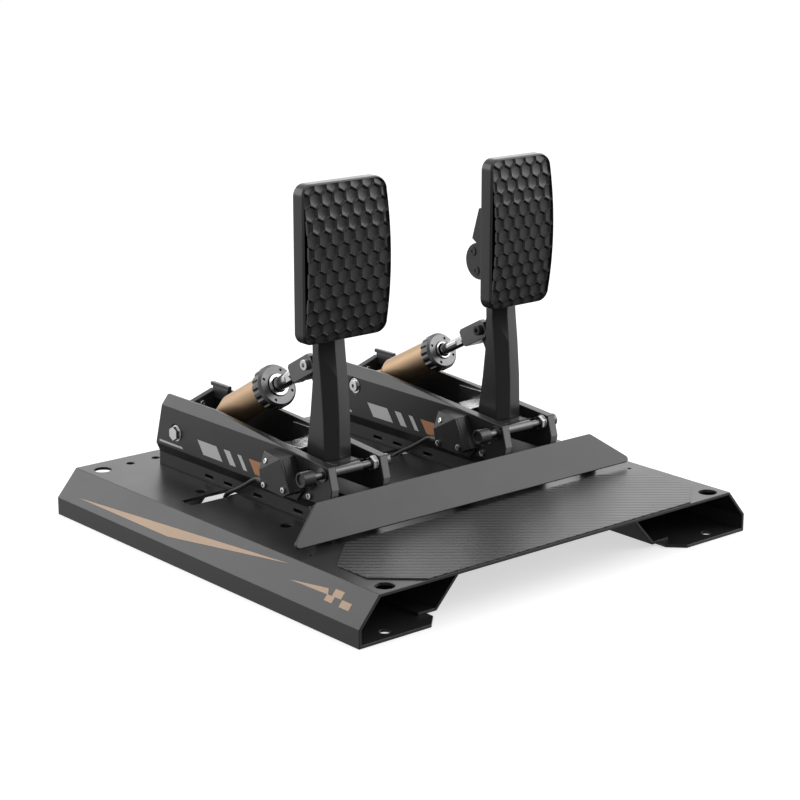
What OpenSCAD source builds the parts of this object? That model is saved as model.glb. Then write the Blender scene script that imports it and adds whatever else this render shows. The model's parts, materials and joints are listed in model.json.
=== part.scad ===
// Two-pedal set for a driving simulator, in millimetres.
// +Z is up, the origin is the centre of the base's footprint, the driver sits on the -Y side.

/* [Base] */
// Width of the flat top of the base
top_w = 360; // [356:1:366]
// Length of the base from front to back
base_l = 391; // [388:1:396]
// Height of the top face above the floor
base_h = 36.2; // [35:0.2:38]
// Thickness of the folded base sheet
sheet_t = 2.5; // [2:0.1:3]
// Sideways reach of each sloping side
slope_w = 18.5; // [16:0.5:20]
// Height of the vertical skirt below each sloping side
skirt_h = 14.4; // [12:0.2:16]
// Width of each bottom flange
flange_w = 78; // [74:1:80]
// Chamfer at the inner corners of the bottom flanges
flange_chamfer = 12; // [8:1:14]
// Distance of the rig bolts from the centre line
bolt_x = 166.3; // [164:0.1:168]
// Distance of the front rig bolts from the front edge
bolt_front = 11.1; // [10:0.1:14]
// Distance of the rear rig bolts from the rear edge
bolt_rear = 19.1; // [14:0.1:24]
// Diameter of the rig bolt holes in the bottom flanges
bolt_d = 8.5; // [6.5:0.1:9]
// Diameter of the access holes above the rig bolts
access_d = 14.3; // [12:0.1:15]
// Width of the cable slots, front to back
slot_w = 15; // [14:0.5:17]
// Centre of the cable slots, front to back
slot_y = 59; // [58:0.5:60]
// Distance of the cable slots' outer ends from the centre line
slot_out = 166.5; // [164:0.5:168]
// Distance of the cable slots' inner ends from the centre line
slot_in = 12; // [8:1:16]
// Diameter of the spare holes behind the pedal units
spare_rear_d = 6.8; // [5:0.2:8]
// Diameter of the spare holes beside the pedal units
spare_side_d = 9; // [6:0.2:10]
// Top of each diagonal brace, from the centre line
brace_top_x = 83; // [80:1:86]
// Foot of each diagonal brace, from the centre line
brace_foot_x = 112; // [108:1:114]
// Width of a brace's flat flange
brace_flange = 16; // [12:1:20]
// Length of each brace
brace_l = 355; // [340:1:360]

/* [Kick plate and mat] */
// Width of the kick plate at its lower edge
kick_low_w = 354; // [346:1:358]
// Width of the kick plate at its upper edge
kick_top_w = 284; // [276:1:290]
// Lower front edge of the kick plate, front to back
kick_low_y = -95; // [-97:0.5:-94]
// Lower front edge of the kick plate, above the floor
kick_low_z = 40.6; // [40:0.2:42]
// Width of the kick plate along its slope
kick_slope_l = 30.4; // [28:0.2:31]
// Lean of the kick plate from level
kick_lean = 57.2; // [56:0.2:60]
// Thickness of the kick plate and its brackets
kick_t = 2.5; // [2:0.1:3]
// Corner radius at the kick plate's lower corners
kick_corner = 3; // [2:0.5:4]
// Corner radius at the kick plate's upper corners
kick_top_corner = 5; // [3:0.5:7]
// Width of each kick plate bracket
kick_bracket_w = 16; // [12:1:20]
// Width of the heel mat
mat_w = 334; // [320:1:340]
// Width of the mat's back edge
mat_back_w = 264; // [250:1:280]
// Width of the mat's front edge
mat_front_w = 270; // [260:1:280]
// Back edge of the mat
mat_back_y = -97.5; // [-99:0.5:-97]
// Thickness of the mat
mat_t = 1.2; // [1:0.1:1.5]

/* [Pedal unit frame] */
// Distance between the two pedals
pedal_pitch = 175.4; // [170:0.2:180]
// Middle between the two pedals, from the base's centre line
pedal_mid = -10.9; // [-12:0.1:-10]
// Clear width between the side walls
wall_gap = 42.2; // [40:0.2:44]
// Thickness of a side wall
wall_t = 7.6; // [7:0.1:8]
// Height of a side wall's level rear top edge
wall_top = 99.5; // [98:0.5:101]
// Height of a side wall's top edge at the front
wall_front_top = 87.2; // [86.5:0.1:88]
// Rear end of a side wall
wall_rear = 161.6; // [160:0.2:163]
// Sideways step of a wall's foot
foot_step = 7; // [6:0.5:8]
// Height of a wall's foot below its sloping part, above the floor
foot_top = 47.5; // [46:0.5:49]
// Thickness of the floor spacer
floor_t = 3; // [2.5:0.1:4]
// Thickness of the rear cross plate
rear_t = 6; // [5:0.5:7]
// Front face of the rear cross plate
rear_y = 140; // [139.5:0.5:142]
// Top of the rear cross plate
rear_top = 90; // [88:0.5:92]
// Pedal axle, front to back
axle_y = -66; // [-66.5:0.1:-65.5]
// Pedal axle, above the floor
axle_z = 81; // [80.5:0.1:81.5]
// Diameter of the axle's plain shaft
axle_d = 6; // [5:0.1:6.2]
// Diameter of the grey bush on the axle
bush_d = 8.6; // [8:0.1:9]
// Running clearance between a shaft and its bore, on the radius
run_fit = 0.05; // [0.02:0.01:0.09]
// Clearance between parts that must not touch
free_gap = 0.3; // [0.25:0.05:0.35]

/* [Sensor] */
// Thickness of the sensor case with its lid
case_w = 15.2; // [14:0.2:16]
// Thickness of the sensor lid
lid_t = 2.2; // [1.8:0.1:3]
// Diameter of the sensor hub on the axle's end
hub_d = 11.6; // [10:0.2:12]
// Length of the sensor hub
hub_l = 10.6; // [9:0.2:12]
// Diameter of the sensor cable
cable_d = 3.6; // [3:0.1:3.8]

/* [Damper and rod] */
// Clevis pin, front to back
pin_y = -23; // [-24:0.1:-22]
// Clevis pin, above the floor
pin_z = 154; // [153:0.1:155]
// Diameter of the clevis pin
pin_d = 6; // [5:0.1:6.2]
// Width of the clevis
clevis_w = 19; // [18:0.5:20]
// Height of the clevis
clevis_h = 15; // [14:0.5:16]
// Distance from the pin to the clevis's rear end
clevis_rear = 24.6; // [23:0.2:26]
// Diameter of the damper cylinder
cyl_d = 26.6; // [26:0.2:27.4]
// Inner diameter of the damper cylinder
cyl_bore = 23; // [22.6:0.1:23.4]
// Diameter of the threaded neck under the preload ring
neck_d = 24.4; // [24:0.1:25]
// Diameter of the brake's preload ring
brake_ring_d = 35; // [34:0.2:36]
// Diameter of the throttle's preload ring
throttle_ring_d = 31; // [30:0.2:32]
// Length of the preload ring
ring_l = 11.5; // [10:0.5:12]
// Number of grip notches in the ring
ring_notches = 16; // [12:1:18]
// Diameter of the rear pivot bolts
pivot_d = 6; // [5:0.1:6.2]
// Rear pivot of the brake, front to back
brake_pivot_y = 126; // [125:0.1:127]
// Rear pivot of the brake, above the floor
brake_pivot_z = 71; // [70:0.1:72]
// Rear pivot of the throttle, front to back
throttle_pivot_y = 113; // [112:0.1:114]
// Rear pivot of the throttle, above the floor
throttle_pivot_z = 83.5; // [82.5:0.1:84.5]
// Diameter of the brake rod
brake_rod_d = 11; // [10.5:0.1:11.4]
// Diameter of the throttle rod
throttle_rod_d = 9; // [8.5:0.1:9.2]

/* [Arm and pads] */
// Width of the pedal arm
arm_w = 26; // [24:0.5:27]
// Width of the narrow top of the arm behind the pad
arm_top_w = 20; // [18:0.5:21]
// Height of the arm's lower end
arm_low = 84; // [83:0.5:86]
// Height of the arm's top end
arm_top = 224; // [222:0.5:226]
// Thickness of the rib that carries the clevis
rib_t = 8.6; // [8:0.1:9]
// Back face of the pads
pad_back = -47.5; // [-48:0.1:-47]
// Height of the pads' lower edge
pad_low = 178.5; // [177.5:0.5:180]
// Height of the pads
pad_h = 119; // [116:0.5:121]
// Thickness of the pads at their upper and lower edges
pad_edge_t = 10.5; // [9:0.5:11]
// Extra thickness of the pads at half height
pad_crown = 7; // [5:0.5:8]
// Corner radius of the pads
pad_corner = 9; // [7:0.5:10]
// Width of the brake pad
brake_pad_w = 79; // [76:0.5:82]
// Width of the throttle pad
throttle_pad_w = 63; // [60:0.5:66]
// Spacing of the grip dimples along a row
dimple_pitch = 11.1; // [10.5:0.1:12]
// Depth of the grip dimples
dimple_depth = 1.6; // [1:0.1:2]
// Thickness of the pad bracket's plates
bracket_t = 3; // [2.5:0.1:3.2]

/* [Hidden] */
$fn = 48;

satin_black = [0.13, 0.13, 0.135];
soft_black = [0.07, 0.07, 0.075];
bronze = [0.72, 0.55, 0.40];
chrome = [0.78, 0.78, 0.80];
steel_grey = [0.48, 0.48, 0.50];

// Cut length beyond a face, so that a cut leaves no skin
over = 1;

// Each pedal unit is a list of its own sizes
brake = [
  pedal_mid - pedal_pitch / 2, brake_pivot_y, brake_pivot_z, brake_rod_d, 17.6, 0.8, 56, 123, 22,
  brake_pad_w, 5, brake_ring_d, -28.5
];
throttle = [
  pedal_mid + pedal_pitch / 2, throttle_pivot_y, throttle_pivot_z, throttle_rod_d, 14, 1.1, 62, 131, 15,
  throttle_pad_w, 0, throttle_ring_d, -24.8
];
function unit_x(u) = u[0];
function pivot_y(u) = u[1];
function pivot_z(u) = u[2];
function rod_r(u) = u[3] / 2;
function sleeve_r(u) = u[4] / 2;
function sleeve_play(u) = u[5];
function ring_front(u) = u[6];
function crease(u) = u[7];
function cone_l(u) = u[8];
function pad_w(u) = u[9];
function nut_l(u) = u[10];
function ring_d(u) = u[11];
function head_y(u) = u[12];
function ring_rear(u) = ring_front(u) + ring_l;
function link_l(u) = norm([pivot_y(u) - pin_y, pin_z - pivot_z(u)]);
function link_drop(u) = atan2(pin_z - pivot_z(u), pivot_y(u) - pin_y);

// Base section
base_w = top_w + 2 * slope_w;
slope_rise = base_h - skirt_h;
slope_len = norm([slope_w, slope_rise]);
slope_n = [slope_rise / slope_len, slope_w / slope_len];
slope_d = slope_n[0] * base_w / 2 + slope_n[1] * skirt_h - sheet_t;
under_z = base_h - sheet_t;
inner_top_x = (slope_d - slope_n[1] * under_z) / slope_n[0];
inner_skirt_x = base_w / 2 - sheet_t;
inner_skirt_z = (slope_d - slope_n[0] * inner_skirt_x) / slope_n[1];
flange_x = base_w / 2 - flange_w;
bolt_front_y = -base_l / 2 + bolt_front;
bolt_rear_y = base_l / 2 - bolt_rear;
slot_tip = 4;
brace_window_y = 70;
brace_window_l = 104;
brace_window_h = 21;
// Spare mounting holes beside a unit: offset from the unit's centre, and place front to back
spare_rear_y = base_l / 2 - 18.5;
spare_rear_holes = [[-40.4, spare_rear_y], [-15.4, spare_rear_y]];
spare_side_holes = [[-40.4, 76.3], [-40.4, -35.5]];

// Kick plate
kick_mid = -2;
kick_end_run = (kick_low_w - kick_top_w) / 2;
kick_end_n = [kick_slope_l, kick_end_run] / norm([kick_slope_l, kick_end_run]);
kick_back_run = kick_t / sin(kick_lean);
// Height at which a bracket's upright leg meets the kick plate's back, and height of its top
kick_leg_z = 55.5;
kick_bracket_top = kick_low_z + 22.5;
kick_bracket_x = [-140, kick_mid, 136];
kick_foot_l = 17;
kick_screw_d = 5;
kick_leg_y = kick_back_y(kick_leg_z);
kick_screw_y = kick_leg_y + kick_foot_l - 5.2;
mark_hole_d = 3.2;
mark_hole_x = 165.5;
mark_hole_y = -99.5;
mat_side_back_y = -132;
mat_side_front_y = -166;
mat_front_y = -base_l / 2 + 0.5;

// Unit frame
inner_x = wall_gap / 2;
outer_x = inner_x + wall_t;
foot_out_x = outer_x - foot_step;
foot_in_x = foot_out_x - wall_t;
foot_mid_x = (foot_out_x + foot_in_x) / 2;
face_low = 57;
face_high = 91;
facet_in = 5;
foot_slot_y = [-26, 25.7, 65, 91];
foot_slot_z = 41;
foot_screw_y = [-48, 12, 140];
foot_screw_d = 4;
foot_screw_up = 9;
window_y = -51;
window_z = 74;
window_d = 15.5;
axle_r = axle_d / 2;
bush_end_x = 6.6;
washer_t = 1.1;
tip_x = outer_x + 10.5;
neck_r = 3.2;
case_low_screw = [-13.3, 63.9];
case_front_screw = [-37.4, 65.4];
case_top = [-32.8, 88.3];
case_outline = [case_top, [-45.2, 64.5], [-36.2, 59.5], [-9.7, 61], [-6.3, 76], [-6.3, case_top[1]]];
case_tab = [[-45.2, 64.5], [-36.2, 54], [-14, 54], [-9.7, 61]];
// Planes that cut the sensor case: a point, the turn about Z and the lean
case_slant = [[-outer_x - case_w, case_top[0], case_top[1]], 168.2, 69.3];
case_bevel = [[-39, -34.3, case_top[1]], -71.2, 63.7];
cut_size = 100;
case_cavity_y = [-34, -15];
case_cavity_z = [67, 75.5];
gland_d = 6;
gland_end_y = 4;
cable_end_y = gland_end_y + 0.6;
gland_z = 62.4;
gland_x = outer_x + 7.2;
board_t = 1.6;
spacer_front = -70;
spacer_l = 220;
bracket_sheet_t = 2.5;
stop_y = 4;
stop_z = 77.5;
stop_w = 18;
stop_l = 21;
stop_leg_l = 28;
stop_leg_h = 15;
rail_y = 120;
rail_l = 25;
rail_low_z = 90.3;
rail_cap_x = inner_x - 1.5;
rail_cap_w = 3.5;
rail_cap_t = 3;
wall_screw = [-49.7, 60.8];
wall_screw_depth = 4.5;
case_screw_r = 1.5;
wall_screw_r = 2;
rear_screw = [7.1, -3.1];
// Half the height by which the rear plate's top edge rises to the right
rear_rise = 7;

// Cable route between the two glands, points chosen by hand
cable_route = [
  [-134.5, cable_end_y, gland_z], [-134.5, 10, 61], [-133.8, 22, 54], [-132.4, 34, 47.5], [-130.5, 46, 41.8],
  [-128, 56, 36.4], [-124, 64, 31], [-116, 71, 27.4], [-105, 74.6, 26], [-88, 75, 26],
  [-60, 75, 26], [-30, 75, 26], [0, 75, 26], [20, 75, 26], [32, 74, 26.3], [40, 70, 28],
  [46.5, 63, 31.4], [48.4, 56, 36.4], [46.8, 46, 41.8], [44.4, 34, 47.5],
  [42.2, 22, 54], [40.9, 10, 61], [40.9, cable_end_y, gland_z]
];
cable_sides = 8;
cable_steps = 3;
clip_x = [-62, -38, -14, 12];
clip_w = 7;
clip_y = 75;
clip_z = 26;
clip_wall = 2.2;

// Arm sections: height, side edge, front ridge, rear face, half width
arm_sections = [
  [arm_low, -47.9, -50.6, -25.5, arm_w / 2],
  [96, -47.7, -50.4, -27.5, arm_w / 2],
  [118, -47, -50, -31, arm_w / 2],
  [147, -44.4, -47.9, -34.5, arm_w / 2],
  [168, -41.8, -45.8, -34.4, arm_w / 2],
  [pad_low + 0.5, -41.4, pad_back + 2, -33.5, arm_w / 2 - 0.6],
  [pad_low + 5.5, pad_back + bracket_t + 0.1, pad_back + bracket_t, -31, arm_top_w / 2],
  [arm_top, pad_back + bracket_t + 0.1, pad_back + bracket_t, -28, arm_top_w / 2]
];
head_z = 211;
head_r = 14.8;
head_bolt_d = 5;
head_bolt_cap = 0.8;
rib_r = 7;
hex_ratio = 2 / sqrt(3);
pad_radius = (pow(pad_h / 2, 2) + pow(pad_crown, 2)) / (2 * pad_crown);
pad_front = pad_back - pad_edge_t - pad_crown;
pad_mid_z = pad_low + pad_h / 2;
pad_screw_x = 17.5;
pad_screw_z = [196, 252];
pad_screw_d = 4;
dimple_gap = 0.9;
dimple_rim = 2.2;
dimple_row = dimple_pitch * sqrt(3) / 2;
eye_half = 8;
clevis_bevel = [2.5, 1.8];
spring_wire = 2.4;
spring_r = 7;
spring_turns = 7;
piston_r = cyl_bore / 2 - 1.1;
piston_l = 6;

function head_c(u) = [head_y(u), head_z];
function head_holes(u) = [head_c(u) + [6.2, 7.2], head_c(u) + [2.3, -7.9]];
function kick_back_y(z) = kick_low_y + (z - kick_low_z) / tan(kick_lean) + kick_back_run;
function arc(c, r, a0, a1, n) =
  [for (i = [0:n]) c + r * [cos(a0 + (a1 - a0) * i / n), sin(a0 + (a1 - a0) * i / n)]];
function mirrored(points) = [for (i = [len(points) - 1:-1:0]) [-points[i][0], points[i][1]]];
function unit_vector(v) = v / norm(v);
function clamped(p, i) = p[max(0, min(len(p) - 1, i))];
function tangent(p, i) = unit_vector(clamped(p, i + 1) - clamped(p, i - 1));
function across(v, t) = unit_vector(v - (v * t) * t);
function carried(p, i = 0, acc = []) =
  i == len(p) ? acc
    : carried(p, i + 1, concat(acc, [across(i == 0 ? [1, 0, 0] : acc[i - 1], tangent(p, i))]));
function blend_point(a, b, c, d, t) =
  0.5 * (2 * b + (c - a) * t + (2 * a - 5 * b + 4 * c - d) * t * t + (3 * b - a - 3 * c + d) * t * t * t);
function smooth(p, steps) = concat(
  [for (i = [0:len(p) - 2]) for (s = [0:steps - 1])
    blend_point(clamped(p, i - 1), p[i], p[i + 1], clamped(p, i + 2), s / steps)],
  [p[len(p) - 1]]
);

// Sweeps a round section along a path as one closed body
module sweep(path, r, sides) {
  n = carried(path);
  last = len(path) - 1;
  points = [for (i = [0:last]) let (t = tangent(path, i), b = cross(t, n[i])) for (j = [0:sides - 1])
    path[i] + r * (cos(360 * j / sides) * n[i] + sin(360 * j / sides) * b)];
  walls = [for (i = [0:last - 1]) for (j = [0:sides - 1]) let (k = (j + 1) % sides, a = i * sides)
    each [[a + j, a + sides + j, a + k], [a + k, a + sides + j, a + sides + k]]];
  ends = [[for (j = [0:sides - 1]) j], [for (j = [sides - 1:-1:0]) last * sides + j]];
  polyhedron(points, concat(walls, ends));
}

// Joins level sections of equal point counts into one closed body
module loft(rings) {
  m = len(rings[0]);
  last = len(rings) - 1;
  walls = [for (i = [0:last - 1]) for (j = [0:m - 1]) let (k = (j + 1) % m, a = i * m)
    each [[a + j, a + m + j, a + k], [a + k, a + m + j, a + m + k]]];
  ends = [[for (j = [0:m - 1]) j], [for (j = [m - 1:-1:0]) last * m + j]];
  polyhedron([for (r = rings) each r], concat(walls, ends));
}

module extrude_x(x0, x1) {
  translate([x0, 0, 0]) rotate([90, 0, 90]) linear_extrude(x1 - x0) children();
}
module extrude_y(y0, y1) {
  translate([0, y1, 0]) rotate([90, 0, 0]) linear_extrude(y1 - y0) children();
}
module rod_x(x0, x1, y, z, r) {
  translate([x0, y, z]) rotate([0, 90, 0]) cylinder(h = x1 - x0, r = r);
}
module rod_y(y0, y1, r) {
  translate([0, y0, 0]) rotate([-90, 0, 0]) cylinder(h = y1 - y0, r = r);
}
module rod_z(x, y, z0, z1, r) {
  translate([x, y, z0]) cylinder(h = z1 - z0, r = r);
}
module hex_x(x0, x1, y, z, af) {
  translate([x0, y, z]) rotate([0, 90, 0]) cylinder(h = x1 - x0, d = af * hex_ratio, $fn = 6);
}
module at_unit(u) {
  translate([unit_x(u), 0, 0]) children();
}
// Local frame of a rod and its damper: origin at the clevis pin, +Y towards the rear pivot
module along_link(u) {
  translate([unit_x(u), pin_y, pin_z]) rotate([-link_drop(u), 0, 0]) children();
}
module turned(profile) {
  rotate([-90, 0, 0]) rotate_extrude() polygon(profile);
}

module base_section() {
  outer = [[base_w / 2, 0], [base_w / 2, skirt_h], [top_w / 2, base_h]];
  inner = [[inner_skirt_x, sheet_t], [inner_skirt_x, inner_skirt_z], [inner_top_x, under_z]];
  difference() {
    polygon(concat(outer, mirrored(outer)));
    polygon(concat(inner, mirrored(inner)));
    translate([-flange_x, -over]) square([2 * flange_x, sheet_t + 2 * over]);
  }
}

module slot_outline() {
  w = slot_w / 2;
  polygon([
    [slot_in, slot_y - w], [slot_out - slot_tip / 2, slot_y - w], [slot_out, slot_y + w / 2],
    [slot_out - slot_tip, slot_y + w], [slot_in, slot_y + w]
  ]);
}

module base_plate() {
  color(satin_black) difference() {
    extrude_y(-base_l / 2, base_l / 2) base_section();
    for (s = [-1, 1]) {
      for (y = [bolt_front_y, bolt_rear_y]) {
        rod_z(s * bolt_x, y, -over, sheet_t + over, bolt_d / 2);
        rod_z(s * bolt_x, y, under_z - over, base_h + over, access_d / 2);
      }
      for (e = [-1, 1]) translate([s * flange_x, e * base_l / 2, -over]) rotate([0, 0, 45])
        cube([flange_chamfer * sqrt(2), flange_chamfer * sqrt(2), 2 * (sheet_t + 2 * over)], center = true);
      translate([0, 0, under_z - over]) linear_extrude(sheet_t + 2 * over)
        mirror([s < 0 ? 1 : 0, 0]) slot_outline();
      rod_z(s * mark_hole_x, mark_hole_y, under_z - over, base_h + over, mark_hole_d / 2);
    }
    for (u = [brake, throttle]) {
      for (h = spare_rear_holes)
        rod_z(unit_x(u) + h[0], h[1], under_z - over, base_h + over, spare_rear_d / 2);
      for (h = spare_side_holes)
        rod_z(unit_x(u) + h[0], h[1], under_z - over, base_h + over, spare_side_d / 2);
      for (s = [-1, 1]) for (y = foot_screw_y)
        rod_z(unit_x(u) + s * foot_mid_x, y, under_z - over, base_h + over, foot_screw_d / 2 + free_gap);
    }
    for (x = kick_bracket_x)
      rod_z(x, kick_screw_y, under_z - over, base_h + over, kick_screw_d / 2 + free_gap);
  }
}

module brace_section() {
  run = sheet_t * norm([brace_foot_x - brace_top_x, under_z - sheet_t]) / (under_z - sheet_t);
  polygon([
    [brace_top_x, under_z], [brace_top_x + run, under_z], [brace_foot_x + run, sheet_t],
    [brace_foot_x, sheet_t]
  ]);
  translate([brace_top_x - brace_flange + sheet_t, under_z - sheet_t]) square([brace_flange, sheet_t]);
  translate([brace_foot_x + run / 2, sheet_t]) square([brace_flange, sheet_t]);
}

module side_braces() {
  web_mid_z = (under_z + sheet_t) / 2;
  color(satin_black) difference() {
    for (s = [0, 1]) mirror([s, 0, 0]) difference() {
      extrude_y(-brace_l / 2, brace_l / 2) brace_section();
      translate([(brace_top_x + brace_foot_x) / 2, brace_window_y, web_mid_z + 0.8])
        cube([3 * brace_flange, brace_window_l, brace_window_h], center = true);
      rod_x(brace_top_x - over, brace_foot_x, -brace_l / 2 + 9, web_mid_z + 8, 2.8);
    }
    for (u = [brake, throttle]) for (s = [-1, 1]) for (y = foot_screw_y)
      rod_z(unit_x(u) + s * foot_mid_x, y, under_z - 5, under_z + over, foot_screw_d + 1);
  }
}

// Outline of the kick plate in its own plane: across, and up the slope
module kick_outline() {
  turn = atan2(kick_end_n[1], kick_end_n[0]);
  corner_x = kick_low_w / 2 - kick_corner * (1 + kick_end_n[1]) / kick_end_n[0];
  top_x = kick_top_w / 2 - kick_top_corner * (1 - kick_end_n[1]) / kick_end_n[0];
  side = concat(
    arc([corner_x, kick_corner], kick_corner, -90, turn, 8),
    arc([top_x, kick_slope_l - kick_top_corner], kick_top_corner, turn, 90, 6)
  );
  polygon(concat(side, mirrored(side)));
}

module kick_plate() {
  color(satin_black) translate([kick_mid, kick_low_y, kick_low_z]) rotate([kick_lean, 0, 0])
    translate([0, 0, -kick_t]) linear_extrude(kick_t) kick_outline();
}

module kick_brackets() {
  high_y = kick_back_y(kick_bracket_top);
  foot_y = kick_leg_y + kick_foot_l;
  bend_z = kick_leg_z - (kick_back_run - kick_t) * tan(kick_lean);
  color(satin_black) for (x = kick_bracket_x) difference() {
    extrude_x(x - kick_bracket_w / 2, x + kick_bracket_w / 2) {
      polygon([
        [kick_leg_y, kick_leg_z], [kick_leg_y, base_h], [foot_y, base_h], [foot_y, base_h + kick_t],
        [kick_leg_y + kick_t, base_h + kick_t], [kick_leg_y + kick_t, bend_z],
        [high_y + kick_back_run, kick_bracket_top], [high_y, kick_bracket_top]
      ]);
    }
    rod_z(x, kick_screw_y, base_h - over, base_h + kick_t + over, kick_screw_d / 2 + free_gap);
  }
}

module kick_screws() {
  color(steel_grey) for (x = kick_bracket_x) {
    rod_z(x, kick_screw_y, base_h + kick_t, base_h + kick_t + 2.8, kick_screw_d * 0.9);
    rod_z(x, kick_screw_y, under_z - 6, base_h + kick_t, kick_screw_d / 2);
    translate([x, kick_screw_y, under_z - 4]) cylinder(h = 4, d = 8 * hex_ratio, $fn = 6);
  }
}

module heel_mat() {
  half = [
    [mat_front_w / 2, mat_front_y], [mat_w / 2, mat_side_front_y], [mat_w / 2, mat_side_back_y],
    [mat_back_w / 2, mat_back_y]
  ];
  color(soft_black) translate([0, 0, base_h]) difference() {
    linear_extrude(mat_t) polygon(concat(half, mirrored(half)));
    for (s = [-1, 1]) rod_z(s * bolt_x, bolt_front_y, -over, mat_t + over, access_d / 2 + 1);
  }
}

module sensor_cable() {
  color(soft_black) sweep(smooth(cable_route, cable_steps), cable_d / 2, cable_sides);
}

module cable_clips() {
  color(soft_black) for (x = clip_x) difference() {
    extrude_x(x - clip_w / 2, x + clip_w / 2) {
      translate([clip_y, clip_z]) circle(r = cable_d / 2 + free_gap + clip_wall);
      translate([clip_y - cable_d / 2 - clip_wall, clip_z])
        square([cable_d + 2 * clip_wall + 6, under_z - clip_z]);
    }
    rod_x(x - clip_w, x + clip_w, clip_y, clip_z, cable_d / 2 + free_gap);
  }
}

// Side view of a wall: front to back, and height
module wall_outline() {
  polygon([
    [-71.5, wall_front_top], [78, wall_top], [144, wall_top], [145.8, face_high], [155.5, face_low],
    [wall_rear - 0.6, foot_top], [wall_rear, base_h], [-71, base_h], [-71, face_low], [-75.4, 66],
    [-76.3, 70.6]
  ]);
}
// Front view of the left wall, which leans in above and steps in below
module wall_section() {
  polygon([
    [-foot_out_x, base_h], [-foot_out_x, foot_top], [-outer_x, face_low], [-outer_x, face_high],
    [facet_in - outer_x, wall_top], [-inner_x, wall_top], [-inner_x, face_low + 2.5],
    [-foot_in_x, foot_top + 2.5], [-foot_in_x, base_h]
  ]);
}
module wall_blank(u) {
  difference() {
    intersection() {
      extrude_x(-outer_x - over, -foot_in_x + over) wall_outline();
      extrude_y(-base_l / 2, base_l / 2) wall_section();
    }
    rod_x(-outer_x - over, 0, axle_y, axle_z, axle_r + run_fit);
    rod_x(-outer_x - over, 0, pivot_y(u), pivot_z(u), pivot_d / 2 + run_fit);
    for (y = foot_slot_y) translate([-foot_mid_x, y, foot_slot_z]) cube([20, 11, 2.6], center = true);
    for (y = foot_screw_y)
      rod_z(-foot_mid_x, y, base_h - over, base_h + foot_screw_up, foot_screw_d / 2 + run_fit);
  }
}
module left_wall(u) {
  color(satin_black) at_unit(u) difference() {
    wall_blank(u);
    rod_x(-outer_x - over, 0, window_y, window_z, window_d / 2);
    rod_x(-outer_x - over, 1 - outer_x, pivot_y(u), pivot_z(u), 7.5);
    for (p = [case_low_screw, case_front_screw])
      rod_x(-outer_x - over, wall_screw_depth - outer_x + free_gap, p[0], p[1], case_screw_r + run_fit);
    rod_x(-outer_x - over, wall_screw_depth - outer_x + free_gap, wall_screw[0], wall_screw[1],
      wall_screw_r + run_fit);
  }
}
module right_wall(u) {
  color(satin_black) at_unit(u) mirror([1, 0, 0]) wall_blank(u);
}

module floor_spacer(u) {
  w = foot_in_x - free_gap / 2;
  color(satin_black) at_unit(u) translate([-w, spacer_front, base_h]) cube([2 * w, spacer_l, floor_t]);
}

module rear_plate(u) {
  w = inner_x - free_gap / 2;
  low_w = foot_in_x - free_gap / 2;
  color(satin_black) at_unit(u) difference() {
    extrude_y(rear_y, rear_y + rear_t) polygon([
      [-low_w, base_h + floor_t], [-low_w, foot_top + 2.5], [-w, face_low + 2.5],
      [-w, rear_top - rear_rise], [w, rear_top + rear_rise],
      [w, face_low + 2.5], [low_w, foot_top + 2.5], [low_w, base_h + floor_t]
    ]);
    translate([rear_screw[0], 0, rear_top + rear_screw[1]])
      rod_y(rear_y - over, rear_y + wall_screw_depth + free_gap, case_screw_r + run_fit);
  }
}

// Plated bracket on the right wall, behind the arm's foot
module stop_bracket(u) {
  color(chrome) at_unit(u) translate([inner_x, stop_y, stop_z]) {
    translate([-bracket_sheet_t, 0, 0]) cube([bracket_sheet_t, stop_leg_l, stop_leg_h]);
    translate([-stop_w, 0, 0]) cube([stop_w, stop_l, bracket_sheet_t]);
  }
}

module top_rail(u) {
  color(steel_grey) at_unit(u) {
    translate([inner_x - bracket_sheet_t, rail_y, rail_low_z])
      cube([bracket_sheet_t, rear_y - free_gap - rail_y, wall_top - rail_low_z]);
    translate([rail_cap_x, rail_y, wall_top]) cube([rail_cap_w, rail_l, rail_cap_t]);
  }
}

module unit_screws(u) {
  case_x = outer_x + case_w;
  color(chrome) at_unit(u) {
    for (p = [case_low_screw, case_front_screw]) {
      rod_x(-case_x - 1.6, -case_x, p[0], p[1], 1.6 * case_screw_r);
      rod_x(-case_x, wall_screw_depth - outer_x, p[0], p[1], case_screw_r);
    }
    rod_x(-outer_x - 1.8, -outer_x, wall_screw[0], wall_screw[1], 1.4 * wall_screw_r);
    rod_x(-outer_x, wall_screw_depth - outer_x, wall_screw[0], wall_screw[1], wall_screw_r);
    translate([rear_screw[0], 0, rear_top + rear_screw[1]]) {
      rod_y(rear_y - 2.6, rear_y, 2 * case_screw_r);
      rod_y(rear_y, rear_y + wall_screw_depth, case_screw_r);
    }
    for (s = [-1, 1]) for (y = foot_screw_y) {
      rod_z(s * foot_mid_x, y, under_z - 3, under_z, foot_screw_d);
      rod_z(s * foot_mid_x, y, under_z, base_h + foot_screw_up - over, foot_screw_d / 2);
    }
  }
}

// Rear pivot bolt with its washers, spacers and nut
module pivot_bolt(u) {
  y = pivot_y(u);
  z = pivot_z(u);
  color(chrome) at_unit(u) {
    rod_x(-outer_x - 1.5, outer_x + 7, y, z, pivot_d / 2);
    rod_x(-outer_x, 1 - outer_x, y, z, 6.6);
    hex_x(-outer_x - 3.4, -outer_x, y, z, 10);
    for (s = [-1, 1])
      rod_x(s > 0 ? eye_half + free_gap : -inner_x, s > 0 ? inner_x : -eye_half - free_gap, y, z, 5);
    rod_x(outer_x, outer_x + 1, y, z, 6.6);
    hex_x(outer_x + 1, outer_x + 6, y, z, 10);
  }
}

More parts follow.
